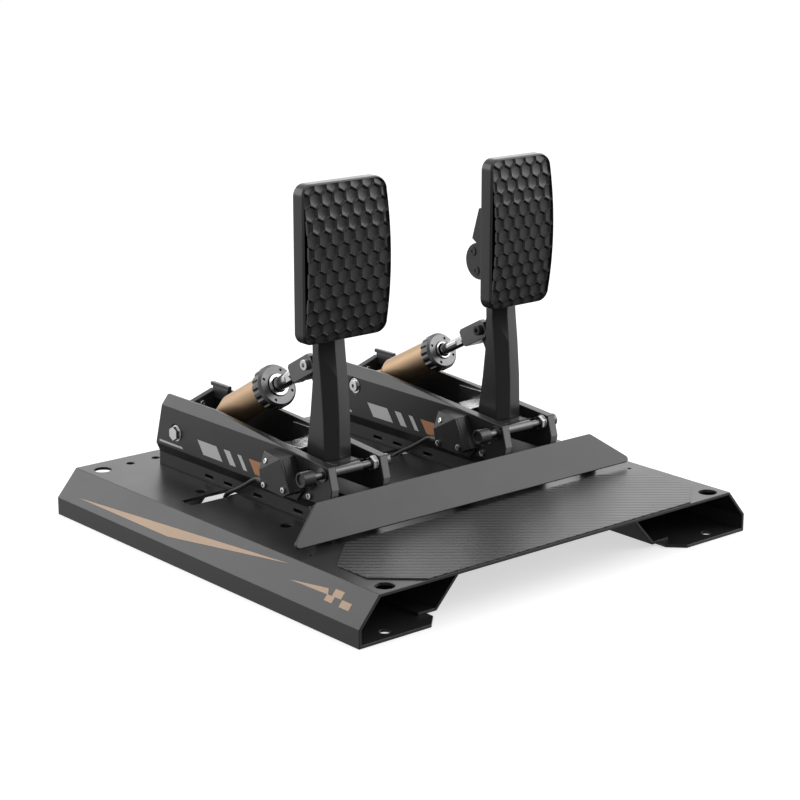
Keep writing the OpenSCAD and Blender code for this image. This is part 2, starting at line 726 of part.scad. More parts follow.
// The case and its lid share one outline, cut by a slanted plane above and bevelled at the front
module case_block(x0, x1) {
  difference() {
    extrude_x(x0, x1) polygon(case_outline);
    for (c = [case_slant, case_bevel]) translate(c[0]) rotate([0, 0, c[1]]) rotate([0, c[2], 0])
      translate([-cut_size, -cut_size, 0]) cube([2 * cut_size, 2 * cut_size, cut_size]);
  }
}
module sensor_case(u) {
  color(soft_black) at_unit(u) difference() {
    union() {
      case_block(-outer_x - case_w + lid_t, -outer_x);
      extrude_x(-outer_x - 2, -outer_x) polygon(case_tab);
      translate([-gland_x, -12, gland_z]) rotate([-90, 0, 0]) cylinder(h = 12 + gland_end_y, d = gland_d);
    }
    translate([-outer_x - case_w, case_cavity_y[0], case_cavity_z[0]])
      cube([case_w - 2.4, case_cavity_y[1] - case_cavity_y[0], case_cavity_z[1] - case_cavity_z[0]]);
    for (p = [case_low_screw, case_front_screw])
      rod_x(-outer_x - case_w, -outer_x + over, p[0], p[1], case_screw_r + run_fit);
  }
}
module sensor_lid(u) {
  color(soft_black) at_unit(u) difference() {
    case_block(-outer_x - case_w, -outer_x - case_w + lid_t);
    for (p = [case_low_screw, case_front_screw])
      rod_x(-outer_x - case_w - over, -outer_x, p[0], p[1], case_screw_r + run_fit);
  }
}
module sensor_board(u) {
  board_l = case_cavity_y[1] - case_cavity_y[0] - 2 * free_gap;
  board_h = case_cavity_z[1] - case_cavity_z[0] - free_gap;
  color("darkgreen") at_unit(u)
    translate([-outer_x - 2.4 - board_t, case_cavity_y[0] + free_gap, case_cavity_z[0]])
      cube([board_t, board_l, board_h]);
}
module sensor_hub(u) {
  color(soft_black) at_unit(u) difference() {
    rod_x(-tip_x - hub_l, -tip_x, axle_y, axle_z, hub_d / 2);
    rod_x(-tip_x - hub_l - over, -tip_x - hub_l + 1.4, axle_y, axle_z, hub_d / 2 - 1.6);
  }
}

// Axle with its bush, left washer and right head
module axle(u) {
  color(steel_grey) at_unit(u) {
    rod_x(-outer_x - free_gap, outer_x + free_gap, axle_y, axle_z, axle_r);
    rod_x(free_gap - inner_x, bush_end_x, axle_y, axle_z, bush_d / 2);
    rod_x(-outer_x - free_gap - washer_t, -outer_x - free_gap, axle_y, axle_z, 5.4);
    rod_x(-tip_x, -outer_x - free_gap, axle_y, axle_z, neck_r);
    rod_x(outer_x + free_gap, outer_x + 4.5, axle_y, axle_z, 5);
  }
}
module axle_nut(u) {
  color(chrome) at_unit(u) difference() {
    union() {
      hex_x(inner_x - 4.6, inner_x - free_gap - washer_t, axle_y, axle_z, 10);
      rod_x(inner_x - free_gap - washer_t, inner_x - free_gap, axle_y, axle_z, 6);
    }
    rod_x(0, outer_x, axle_y, axle_z, axle_r + run_fit);
  }
}

module arm_foot(u) {
  color(soft_black) at_unit(u) extrude_x(0.5 - arm_w / 2, arm_w / 2 - 0.5) difference() {
    polygon([[-64, 85.4], [-58, arm_low], [-24, arm_low], [-24, 81], [-31, 76], [-50, 71.5], [-64, 75.8]]);
    translate([axle_y, axle_z]) circle(r = bush_d / 2 + run_fit);
  }
}

module arm(u) {
  rings = [for (s = arm_sections) [
    [-s[4], s[3], s[0]], [-s[4], s[1], s[0]], [0, s[2], s[0]], [s[4], s[1], s[0]], [s[4], s[3], s[0]]
  ]];
  color(satin_black) at_unit(u) difference() {
    union() {
      loft(rings);
      extrude_x(-rib_t / 2, rib_t / 2) {
        polygon([[-40, 124], [-31, 126], [-17.6, 149.5], [-23, 161], [-33, 170], [-40, 170]]);
        translate([pin_y, pin_z]) circle(r = rib_r);
        translate(head_c(u)) circle(r = head_r - 2);
      }
    }
    rod_x(-arm_w, arm_w, pin_y, pin_z, pin_d / 2 + run_fit);
    for (h = head_holes(u)) rod_x(-arm_w, arm_w, h[0], h[1], head_bolt_d / 2 + run_fit);
  }
}

module clevis_bolt(u) {
  side = clevis_w / 2 + free_gap;
  color(chrome) at_unit(u) {
    rod_x(-side, side + 4.5, pin_y, pin_z, pin_d / 2);
    rod_x(-side - 3.2, -side, pin_y, pin_z, 4.2);
    hex_x(side, side + 4, pin_y, pin_z, 9);
  }
}

module pad_bracket(u) {
  cheek_x = arm_top_w / 2;
  plate_w = 44;
  plate_low = pad_low + 6;
  plate_h = 76;
  face_y = pad_back + bracket_t;
  color(satin_black) at_unit(u) difference() {
    union() {
      for (x = [-cheek_x - bracket_t, cheek_x]) extrude_x(x, x + bracket_t) {
        translate(head_c(u)) circle(r = head_r);
        polygon([
          [face_y, plate_low + 1], [-36, head_z - 14], head_c(u) + [1.8, 14], head_c(u) + [7.8, 17.6],
          head_c(u) + [0.1, 42.6], [face_y, plate_low + plate_h - 1]
        ]);
      }
      translate([-plate_w / 2, pad_back, plate_low]) cube([plate_w, bracket_t, plate_h]);
    }
    for (h = head_holes(u)) rod_x(-arm_w, arm_w, h[0], h[1], head_bolt_d / 2 + run_fit);
    for (s = [-1, 1]) for (z = pad_screw_z)
      translate([s * pad_screw_x, 0, z]) rod_y(pad_back - over, face_y + over, pad_screw_d / 2 + run_fit);
  }
}

// Screws into the pad's back, and the two bolts through the bracket's head
module pad_screws(u) {
  side = arm_top_w / 2 + bracket_t;
  color(steel_grey) at_unit(u) {
    for (s = [-1, 1]) for (z = pad_screw_z) translate([s * pad_screw_x, 0, z]) {
      rod_y(pad_back + bracket_t, pad_back + bracket_t + 2.6, 3.6);
      rod_y(pad_back - 6, pad_back + bracket_t, pad_screw_d / 2);
    }
    for (h = head_holes(u)) {
      rod_x(-side, side, h[0], h[1], head_bolt_d / 2);
      for (s = [-side - head_bolt_cap, side]) rod_x(s, s + head_bolt_cap, h[0], h[1], 3.6);
    }
  }
}

module pad_outline(w) {
  r = pad_corner;
  x = w / 2 - r;
  polygon(concat(
    arc([x, pad_low + r], r, -90, 0, 10), arc([x, pad_low + pad_h - r], r, 0, 90, 10),
    arc([-x, pad_low + pad_h - r], r, 90, 180, 10), arc([-x, pad_low + r], r, 180, 270, 10)
  ));
}
function pad_face(z) = pad_front + pad_radius - sqrt(pow(pad_radius, 2) - pow(z - pad_mid_z, 2));
module pad(u) {
  w = pad_w(u);
  rows = floor((pad_h - 2 * dimple_rim) / dimple_row / 2);
  cols = floor((w - 2 * dimple_rim) / dimple_pitch / 2) + 1;
  hex_r = (dimple_pitch - dimple_gap) / 2 * hex_ratio;
  edge = hex_r + dimple_rim;
  color(soft_black) at_unit(u) difference() {
    intersection() {
      extrude_y(pad_front - over, pad_back) pad_outline(w);
      translate([-w, pad_front + pad_radius, pad_mid_z]) rotate([0, 90, 0])
        cylinder(h = 2 * w, r = pad_radius, $fn = 96);
    }
    for (i = [-rows:rows]) for (j = [-cols:cols]) {
      x = (j + (abs(i) % 2) / 2) * dimple_pitch;
      z = pad_mid_z + i * dimple_row;
      if (abs(x) < w / 2 - edge && abs(z - pad_mid_z) < pad_h / 2 - edge)
        translate([x, pad_face(z) + dimple_depth, z]) rotate([90, 0, 0]) rotate([0, 0, 30])
          cylinder(h = 2 * pad_edge_t, r = hex_r, $fn = 6);
    }
    for (s = [-1, 1]) for (z = pad_screw_z)
      translate([s * pad_screw_x, 0, z]) rod_y(pad_back - 7, pad_back + over, pad_screw_d / 2 + run_fit);
  }
}

module clevis(u) {
  h = clevis_h / 2;
  color(satin_black) along_link(u) difference() {
    extrude_x(-clevis_w / 2, clevis_w / 2)
      polygon([
        [-7, -h + 3], [-4, -h], [clevis_rear - clevis_bevel[0], -h], [clevis_rear, -h + clevis_bevel[1]],
        [clevis_rear, h - clevis_bevel[1]], [clevis_rear - clevis_bevel[0], h], [-4, h], [-7, h - 3]
      ]);
    translate([-rib_t / 2 - free_gap, -20, -20]) cube([rib_t + 2 * free_gap, 30.5, 40]);
    rod_x(-clevis_w, clevis_w, 0, 0, pin_d / 2 + run_fit);
    rod_y(14, clevis_rear + over, rod_r(u) + run_fit);
  }
}

module rod(u) {
  front = 14;
  piston_front = ring_rear(u) + 6.5;
  color(chrome) along_link(u) difference() {
    union() {
      rod_y(front, piston_front + piston_l, rod_r(u));
      rod_y(piston_front, piston_front + piston_l, piston_r);
      if (nut_l(u) > 0) rotate([-90, 0, 0]) translate([0, 0, clevis_rear])
        cylinder(h = nut_l(u), r = rod_r(u) + 2.4, $fn = 6);
    }
    for (s = [-1, 1]) translate([s * (rod_r(u) + 4.2), clevis_rear + 10.5, 0])
      cube([10, 7, 20], center = true);
  }
}

module preload_ring(u) {
  front = ring_front(u);
  rear = ring_rear(u);
  bore = neck_d / 2 + run_fit;
  lip = sleeve_r(u) + free_gap;
  r = ring_d(u) / 2;
  color(soft_black) along_link(u) difference() {
    turned([
      [lip, front], [r - 2, front], [r, front + 2], [r, rear - 1], [r - 1, rear], [bore, rear],
      [bore, front + 1.6], [lip, front + 1.6]
    ]);
    for (i = [0:ring_notches - 1]) rotate([0, 360 * i / ring_notches, 0])
      translate([r + 0.6, 0, 0]) rod_y(front + 2.5, rear + over, 1.9);
    for (i = [0:3]) rotate([0, 90 * i + 30, 0]) translate([r - 4.5, 0, 0])
      rod_y(front - over, front + 1.2, 1);
  }
}

module guide_sleeve(u) {
  r = sleeve_r(u);
  inner = rod_r(u) + sleeve_play(u);
  color(chrome) along_link(u)
    turned([
      [inner, ring_front(u) - 1.5], [r, ring_front(u) - 1.5], [r, ring_rear(u) + 3],
      [inner, ring_rear(u) + 3]
    ]);
}

module cylinder_body(u) {
  neck_front = ring_front(u) + 1.6 + free_gap;
  shoulder = ring_rear(u) + free_gap;
  bore_front = ring_rear(u) + 5;
  bore_rear = crease(u) + 2;
  cone_end = crease(u) + cone_l(u);
  r = cyl_d / 2;
  bore_r = cyl_bore / 2;
  stub_r = 0.9 * eye_half;
  stub_end = link_l(u) - 5;
  eye_r = 9;
  color(bronze) along_link(u) difference() {
    union() {
      turned([
        [sleeve_r(u), neck_front], [neck_d / 2, neck_front], [neck_d / 2, shoulder], [r, shoulder],
        [r, crease(u)], [stub_r, cone_end], [stub_r, stub_end], [0, stub_end], [0, bore_rear],
        [bore_r - 3, bore_rear], [bore_r, bore_rear - 3], [bore_r, bore_front], [sleeve_r(u), bore_front]
      ]);
      rod_x(-eye_half, eye_half, link_l(u), 0, eye_r);
    }
    rod_x(-2 * eye_half, 2 * eye_half, link_l(u), 0, pivot_d / 2 + run_fit);
  }
}

// Stack of rubber rings that the brake piston squeezes
module elastomers(u) {
  front = ring_rear(u) + 6.5 + piston_l + 0.1;
  rear = crease(u) + 2;
  rings = 4;
  step = (rear - front) / rings;
  color("darkorange") along_link(u) turned(concat(
    [[3, rear], [3, front]],
    [for (i = [0:rings - 1]) each [[8, front + i * step], [piston_r - 0.4, front + (i + 0.5) * step]]],
    [[8, rear]]
  ));
}

// Coil spring that returns the throttle
module spring(u) {
  front = ring_rear(u) + 6.5 + piston_l + 0.1 + spring_wire / 2;
  rear = crease(u) + 2 - spring_wire / 2;
  steps = 14 * spring_turns;
  path = [for (i = [0:steps]) [
    spring_r * cos(360 * i * spring_turns / steps), front + (rear - front) * i / steps,
    spring_r * sin(360 * i * spring_turns / steps)
  ]];
  color(steel_grey) along_link(u) sweep(path, spring_wire / 2, 6);
}

base_plate();
side_braces();
kick_plate();
kick_brackets();
kick_screws();
heel_mat();
sensor_cable();
cable_clips();
left_wall(brake);  // brake_left_wall
right_wall(brake);  // brake_right_wall
floor_spacer(brake);  // brake_floor_spacer
rear_plate(brake);  // brake_rear_plate
stop_bracket(brake);  // brake_stop_bracket
top_rail(brake);  // brake_top_rail
unit_screws(brake);  // brake_unit_screws
pivot_bolt(brake);  // brake_pivot_bolt
sensor_case(brake);  // brake_sensor_case
sensor_lid(brake);  // brake_sensor_lid
sensor_board(brake);  // brake_sensor_board
sensor_hub(brake);  // brake_sensor_hub
axle(brake);  // brake_axle
axle_nut(brake);  // brake_axle_nut
arm_foot(brake);  // brake_arm_foot
arm(brake);  // brake_arm
clevis_bolt(brake);  // brake_clevis_bolt
pad_bracket(brake);  // brake_pad_bracket
pad_screws(brake);  // brake_pad_screws
pad(brake);  // brake_pad
clevis(brake);  // brake_clevis
rod(brake);  // brake_rod
preload_ring(brake);  // brake_preload_ring
guide_sleeve(brake);  // brake_guide_sleeve
cylinder_body(brake);  // brake_cylinder
elastomers(brake);  // brake_elastomers
left_wall(throttle);  // throttle_left_wall
right_wall(throttle);  // throttle_right_wall
floor_spacer(throttle);  // throttle_floor_spacer
rear_plate(throttle);  // throttle_rear_plate
stop_bracket(throttle);  // throttle_stop_bracket
top_rail(throttle);  // throttle_top_rail
unit_screws(throttle);  // throttle_unit_screws
pivot_bolt(throttle);  // throttle_pivot_bolt
sensor_case(throttle);  // throttle_sensor_case
sensor_lid(throttle);  // throttle_sensor_lid
sensor_board(throttle);  // throttle_sensor_board
sensor_hub(throttle);  // throttle_sensor_hub
axle(throttle);  // throttle_axle
axle_nut(throttle);  // throttle_axle_nut
arm_foot(throttle);  // throttle_arm_foot
arm(throttle);  // throttle_arm
clevis_bolt(throttle);  // throttle_clevis_bolt
pad_bracket(throttle);  // throttle_pad_bracket
pad_screws(throttle);  // throttle_pad_screws
pad(throttle);  // throttle_pad
clevis(throttle);  // throttle_clevis
rod(throttle);  // throttle_rod
preload_ring(throttle);  // throttle_preload_ring
guide_sleeve(throttle);  // throttle_guide_sleeve
cylinder_body(throttle);  // throttle_cylinder
spring(throttle);  // throttle_spring
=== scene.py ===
"""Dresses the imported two-pedal set: rounded sheets, pads with hollow hexagons, turned dampers and screws."""
import json
import math

import bmesh
import bpy
from mathutils import Matrix, Vector


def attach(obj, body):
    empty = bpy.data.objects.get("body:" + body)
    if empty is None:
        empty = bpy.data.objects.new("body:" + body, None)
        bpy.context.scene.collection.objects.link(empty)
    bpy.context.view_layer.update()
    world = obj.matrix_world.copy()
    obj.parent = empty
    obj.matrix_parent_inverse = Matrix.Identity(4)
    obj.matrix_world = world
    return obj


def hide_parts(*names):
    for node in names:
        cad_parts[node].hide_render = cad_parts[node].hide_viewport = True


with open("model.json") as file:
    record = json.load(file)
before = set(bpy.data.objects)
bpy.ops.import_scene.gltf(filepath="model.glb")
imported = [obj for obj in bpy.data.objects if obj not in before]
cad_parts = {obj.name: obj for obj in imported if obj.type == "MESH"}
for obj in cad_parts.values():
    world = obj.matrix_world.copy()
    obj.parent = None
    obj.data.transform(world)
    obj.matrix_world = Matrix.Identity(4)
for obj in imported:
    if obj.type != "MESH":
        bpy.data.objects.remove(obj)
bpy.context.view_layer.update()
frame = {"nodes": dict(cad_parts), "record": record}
MM = 0.001

# Sizes and places of the part's source, in millimetres. Places in a side view are (y, z).
BASE_H = 36.2
SKIRT_H = 14.4
TOP_HALF = 180.0
SLOPE_W = 18.5
SHEET_T = 2.5
UNDER_Z = BASE_H - SHEET_T
KICK_SCREW_X = (-140, -2, 136)
KICK_SCREW_Y = -70.63
UNIT_X = {"brake": -98.6, "throttle": 76.8}
PIN = (-23.0, 154.0)
REAR_PIVOT = {"brake": (126.0, 71.0), "throttle": (113.0, 83.5)}
OUTER_X = 28.7
INNER_X = 21.1
FOOT_MID_X = 17.9
FOOT_SCREW_Y = (-48, 12, 140)
EYE_HALF = 8.3
CLEVIS_HALF = 9.8
CASE_W = 15.2
CASE_SLANT = (-0.9157, 0.1913, 0.3535)
CASE_SCREWS = [(-13.3, 63.9), (-37.4, 65.4)]
CASE_TOP_SCREW = (-42.2, -13.2, 82.3)
WALL_SCREW = (-49.7, 60.8)
PLATE_SCREW = (7.1, 140, 86.9)
WALL_GRIP = 4.4
HEAD_Y = {"brake": -28.5, "throttle": -24.8}
HEAD_Z = 211.0
HEAD_HALF = 13
HEAD_BOLTS = [(6.2, 7.2), (2.3, -7.9)]
BRACKET_T = 3
PAD_SCREW_X = 17.5
PAD_SCREW_Z = (196, 252)
PAD_BACK = -47.5
PAD_LOW = 178.5
PAD_H = 119.0
PAD_W = {"brake": 79.0, "throttle": 63.0}
PAD_EDGE_T = 10.5
PAD_CROWN = 7.0
PAD_CORNER = 9.0
PAD_FRONT = PAD_BACK - PAD_EDGE_T - PAD_CROWN
PAD_MID_Z = PAD_LOW + PAD_H / 2
PAD_RADIUS = ((PAD_H / 2) ** 2 + PAD_CROWN**2) / (2 * PAD_CROWN)

# Camera and lights, in metres and watts
CAMERA_AT = (-1.0697, -1.2711, 0.5532)
CAMERA_TARGET = (0.0072, 0.0046, 0.1005)
CAMERA_REACH = 100.0
LENS = 97.0
SENSOR = 36.0
# Each light: name, place, target, width and depth, power
LIGHTS = [
    ("rear_left", (-1.15, 1.55, 1.0), (0, 0, 0.1), (1.7, 1.2), 14),
    ("right", (1.5, -1.0, 1.15), (0, 0, 0.12), (1.5, 1.5), 18),
    ("over", (-0.1, 0.35, 2.3), (0, 0, 0.1), (1.6, 1.6), 7),
]
# Greys that reflections meet, as (direction, grey): front to back, from below to overhead, left to right
FRONT_STOPS = [
    (-1.0, 0.02), (-0.9, 0.03), (-0.8, 0.3), (-0.7, 0.48), (-0.5, 0.52), (0.2, 0.7), (0.65, 1.0), (1.0, 1.0),
]
HEIGHT_STOPS = [(-1.0, 0.05), (-0.62, 0.12), (-0.3, 0.8), (0.0, 1.0), (1.0, 0.8)]
SIDE_STOPS = [(-1.0, 0.45), (0.3, 0.5), (0.6, 1.0), (1.0, 1.0)]
MIRROR_GLOW = 2.0
SOFT_GLOW = 0.8
FLOOR_GLOW = 0.6
FLOOR_PALE = 0.62
FLOOR_DIM = 0.08
FLOOR_HALF = 20.0
FLOOR_DROP = 0.0002


def grey(level):
    return (level, level, level, 1)


def aim(thing, at, target):
    """Puts a camera or light at a place and points it at a target."""
    bpy.context.scene.collection.objects.link(thing)
    thing.location = at
    thing.rotation_euler = (Vector(target) - Vector(at)).to_track_quat("-Z", "Y").to_euler()


def add_camera():
    data = bpy.data.cameras.new("camera")
    data.lens = LENS
    data.sensor_width = SENSOR
    data.clip_end = CAMERA_REACH
    camera = bpy.data.objects.new("camera", data)
    aim(camera, CAMERA_AT, CAMERA_TARGET)
    bpy.context.scene.camera = camera


def add_area(name, at, target, size, power):
    data = bpy.data.lights.new(name, "AREA")
    data.shape = "RECTANGLE"
    data.size, data.size_y = size
    data.energy = power
    aim(bpy.data.objects.new(name, data), at, target)


def ramp_nodes(tree, value, stops):
    """Grey that follows a value from -1 to 1 through stops of (value, grey)."""
    spread = tree.nodes.new("ShaderNodeMapRange")
    spread.inputs["From Min"].default_value = -1.0
    spread.inputs["From Max"].default_value = 1.0
    tree.links.new(value, spread.inputs["Value"])
    ramp = tree.nodes.new("ShaderNodeValToRGB")
    elements = ramp.color_ramp.elements
    for element, (at, level) in zip(elements, (stops[0], stops[-1])):
        element.position = (at + 1) / 2
        element.color = grey(level)
    for at, level in stops[1:-1]:
        element = elements.new((at + 1) / 2)
        element.color = grey(level)
    tree.links.new(spread.outputs[0], ramp.inputs[0])
    return ramp.outputs[0]


def shader_node(tree, kind, **values):
    """A node with constants set on its inputs by name."""
    node = tree.nodes.new(kind)
    for key, value in values.items():
        node.inputs[key].default_value = value
    return node


def mix_shaders(tree, factor, first, second):
    """The first shader where the factor is 0, the second where it is 1."""
    mix = tree.nodes.new("ShaderNodeMixShader")
    for socket, source in zip(mix.inputs, (factor, first, second)):
        tree.links.new(source, socket)
    return mix.outputs[0]


def add_world():
    """White for the camera, even for diffuse light, and a studio with a dark front in reflections."""
    world = bpy.data.worlds.new("studio")
    bpy.context.scene.world = world
    world.use_nodes = True
    tree = world.node_tree
    tree.nodes.clear()
    link = tree.links.new
    out = tree.nodes.new("ShaderNodeOutputWorld")
    path = tree.nodes.new("ShaderNodeLightPath")
    place = tree.nodes.new("ShaderNodeTexCoord")
    split = tree.nodes.new("ShaderNodeSeparateXYZ")
    link(place.outputs["Generated"], split.inputs[0])
    level = ramp_nodes(tree, split.outputs["Y"], FRONT_STOPS)
    for axis, stops in (("Z", HEIGHT_STOPS), ("X", SIDE_STOPS)):
        both = tree.nodes.new("ShaderNodeMix")
        both.data_type = "RGBA"
        both.blend_type = "MULTIPLY"
        both.inputs["Factor"].default_value = 1.0
        link(level, both.inputs["A"])
        link(ramp_nodes(tree, split.outputs[axis], stops), both.inputs["B"])
        level = both.outputs["Result"]
    mirrored = shader_node(tree, "ShaderNodeBackground", Strength=MIRROR_GLOW)
    link(level, mirrored.inputs["Color"])
    white = shader_node(tree, "ShaderNodeBackground", Color=grey(1))
    # The soft light keeps the node's own light grey as its colour
    soft = shader_node(tree, "ShaderNodeBackground", Strength=SOFT_GLOW)
    lit = mix_shaders(tree, path.outputs["Is Glossy Ray"], soft.outputs[0], mirrored.outputs[0])
    clear = tree.nodes.new("ShaderNodeMath")
    clear.operation = "MAXIMUM"
    link(path.outputs["Is Camera Ray"], clear.inputs[0])
    link(path.outputs["Is Transmission Ray"], clear.inputs[1])
    link(mix_shaders(tree, clear.outputs[0], lit, white.outputs[0]), out.inputs["Surface"])


def add_floor():
    """A white floor that keeps the shadow, is clear to reflections and dim to diffuse light."""
    mesh = bpy.data.meshes.new("floor")
    corners = [(x * FLOOR_HALF, y * FLOOR_HALF, -FLOOR_DROP) for x, y in ((-1, -1), (1, -1), (1, 1), (-1, 1))]
    mesh.from_pydata(corners, [], [(0, 1, 2, 3)])
    floor = bpy.data.objects.new("floor", mesh)
    bpy.context.scene.collection.objects.link(floor)
    surface = bpy.data.materials.new("floor")
    surface.use_nodes = True
    tree = surface.node_tree
    tree.nodes.clear()
    link = tree.links.new
    out = tree.nodes.new("ShaderNodeOutputMaterial")
    path = tree.nodes.new("ShaderNodeLightPath")
    pale = shader_node(tree, "ShaderNodeBsdfDiffuse", Color=grey(FLOOR_PALE))
    glow = shader_node(tree, "ShaderNodeEmission", Strength=FLOOR_GLOW)
    seen = tree.nodes.new("ShaderNodeAddShader")
    link(pale.outputs[0], seen.inputs[0])
    link(glow.outputs[0], seen.inputs[1])
    dim = shader_node(tree, "ShaderNodeBsdfDiffuse", Color=grey(FLOOR_DIM))
    clear = tree.nodes.new("ShaderNodeBsdfTransparent")
    unseen = mix_shaders(tree, path.outputs["Is Glossy Ray"], dim.outputs[0], clear.outputs[0])
    link(mix_shaders(tree, path.outputs["Is Camera Ray"], unseen, seen.outputs[0]), out.inputs["Surface"])
    mesh.materials.append(surface)


bpy.context.scene.view_settings.view_transform = "Standard"
add_camera()
add_world()
add_floor()
for light in LIGHTS:
    add_area(*light)

# Materials. Their patterns have sizes in millimetres and lie in the part's frame.
STREAK_W = 0.25
STREAK_STRETCH = 14.0
LATHE_PITCH = 0.55
LATHE_WOBBLE = 0.2
MAT_SLANT = 40.0
MAT_GROOVE_PITCH = 6.45
MAT_TOOTH_PITCH = 2.65
MAT_TOOTH = 0.2
MAT_THREAD_PITCH = 1.32
BOARD_TRACK = 3.0


class Finish:
    """A Principled material with helpers for noise, bump and stripes in object space."""

    def __init__(self, name, base, roughness, metallic=0.0):
        self.material = bpy.data.materials.new(name)
        self.material.use_nodes = True
        self.tree = self.material.node_tree
        self.shader = self.tree.nodes["Principled BSDF"]
        self.shader.inputs["Base Color"].default_value = (*base, 1)
        self.shader.inputs["Roughness"].default_value = roughness
        self.shader.inputs["Metallic"].default_value = metallic
        self.normal = None
        self.place = self.add("ShaderNodeTexCoord").outputs["Object"]

    def add(self, kind, **values):
        node = self.tree.nodes.new(kind)
        for key, value in values.items():
            setattr(node, key, value)
        return node

    def link(self, source, target):
        self.tree.links.new(source, target)

    def noise(self, size_mm, detail=2.0, stretch=None):
        """Noise whose grains are about size_mm across, and narrower where stretch is above 1."""
        place = self.place
        if stretch:
            mapping = self.add("ShaderNodeMapping")
            mapping.inputs["Scale"].default_value = stretch
            self.link(place, mapping.inputs["Vector"])
            place = mapping.outputs[0]
        node = self.add("ShaderNodeTexNoise")
        node.inputs["Scale"].default_value = 1.0 / (size_mm * MM)
        node.inputs["Detail"].default_value = detail
        self.link(place, node.inputs["Vector"])
        return node.outputs[0]

    def distance_along(self, direction):
        """How far a point of the surface lies along a direction, in metres."""
        node = self.add("ShaderNodeVectorMath", operation="DOT_PRODUCT")
        node.inputs[1].default_value = direction
        self.link(self.place, node.inputs[0])
        return node.outputs["Value"]

    def math(self, operation, a, b=None):
        node = self.add("ShaderNodeMath", operation=operation)
        for socket, value in zip(node.inputs, (a, b)):
            if isinstance(value, (int, float)):
                socket.default_value = value
            elif value is not None:
                self.link(value, socket)
        return node.outputs[0]

    def waves(self, place, pitch_mm):
        return self.math("SINE", self.math("MULTIPLY", place, 2 * math.pi / (pitch_mm * MM)))

    def spread(self, value, low, high):
        """Maps 0..1 to low..high."""
        node = self.add("ShaderNodeMapRange")
        node.inputs["To Min"].default_value = low
        node.inputs["To Max"].default_value = high
        self.link(value, node.inputs["Value"])
        return node.outputs[0]

    def vary_roughness(self, size_mm, low, high):
        self.link(self.spread(self.noise(size_mm, detail=3.0), low, high), self.shader.inputs["Roughness"])

    def tint(self, value, base, dark, light):
        """Shades the base colour from dark to light times itself by a 0..1 value."""
        node = self.add("ShaderNodeMix", data_type="RGBA")
        node.inputs["A"].default_value = (*(c * dark for c in base), 1)
        node.inputs["B"].default_value = (*(c * light for c in base), 1)
        self.link(value, node.inputs["Factor"])
        self.link(node.outputs["Result"], self.shader.inputs["Base Color"])

    def bump(self, height, depth_mm, strength):
        """Adds relief on top of the relief that is there."""
        node = self.add("ShaderNodeBump")
        node.inputs["Strength"].default_value = strength
        node.inputs["Distance"].default_value = depth_mm * MM
        self.link(height, node.inputs["Height"])
        if self.normal:
            self.link(self.normal, node.inputs["Normal"])
        self.normal = node.outputs[0]
        self.link(self.normal, self.shader.inputs["Normal"])


def coat(name, base, roughness, grain_mm=0.35):
    """Satin powder coat: fine orange peel, with slow changes in gloss and shade."""
    finish = Finish(name, base, roughness)
    finish.shader.inputs["Specular IOR Level"].default_value = 0.5
    finish.tint(finish.noise(60.0, detail=3.0), base, dark=0.9, light=1.1)
    finish.vary_roughness(24.0, roughness - 0.04, roughness + 0.04)
    finish.bump(finish.noise(grain_mm), depth_mm=0.012, strength=0.5)
    finish.bump(finish.noise(6.0, detail=1.0), depth_mm=0.01, strength=0.3)
    return finish.material


def plastic(name, base, roughness, grain_mm=0.5):
    """Moulded plastic with a fine eroded grain."""
    finish = Finish(name, base, roughness)
    cells = finish.add("ShaderNodeTexVoronoi", feature="F1")
    cells.inputs["Scale"].default_value = 1.0 / (grain_mm * MM)
    finish.link(finish.place, cells.inputs["Vector"])
    finish.bump(cells.outputs["Distance"], depth_mm=0.02, strength=0.4)
    finish.tint(finish.noise(18.0), base, dark=0.88, light=1.12)
    finish.vary_roughness(9.0, roughness - 0.05, roughness + 0.05)
    return finish.material


def metal(name, base, roughness, depth_mm=0.004):
    """Bright or plated metal with fine streaks along X."""
    finish = Finish(name, base, roughness, metallic=1.0)
    stretch = (1.0, STREAK_STRETCH, STREAK_STRETCH)
    streaks = finish.noise(STREAK_W * STREAK_STRETCH, detail=3.0, stretch=stretch)
    finish.bump(streaks, depth_mm, strength=0.5)
    finish.tint(finish.noise(7.0), base, dark=0.93, light=1.04)
    finish.vary_roughness(5.0, roughness * 0.8, roughness * 1.2)
    return finish.material


def damper_drop(unit):
    """Angle by which a damper falls from its clevis pin to its rear pivot."""
    pivot_y, pivot_z = REAR_PIVOT[unit]
    return math.atan2(PIN[1] - pivot_z, pivot_y - PIN[0])


def turned_metal(name, base, roughness, unit):
    """Anodised metal turned on a lathe: rings along the damper's own axis."""
    finish = Finish(name, base, roughness, metallic=1.0)
    drop = damper_drop(unit)
    along = finish.distance_along((0.0, math.cos(drop), -math.sin(drop)))
    wobble = finish.math("MULTIPLY", finish.noise(3.0), LATHE_WOBBLE * MM)
    rings = finish.waves(finish.math("ADD", along, wobble), LATHE_PITCH)
    finish.bump(rings, depth_mm=0.003, strength=0.35)
    finish.bump(finish.noise(0.3), depth_mm=0.004, strength=0.35)
    finish.tint(finish.noise(16.0), base, dark=0.95, light=1.05)
    finish.vary_roughness(8.0, roughness - 0.03, roughness + 0.04)
    return finish.material


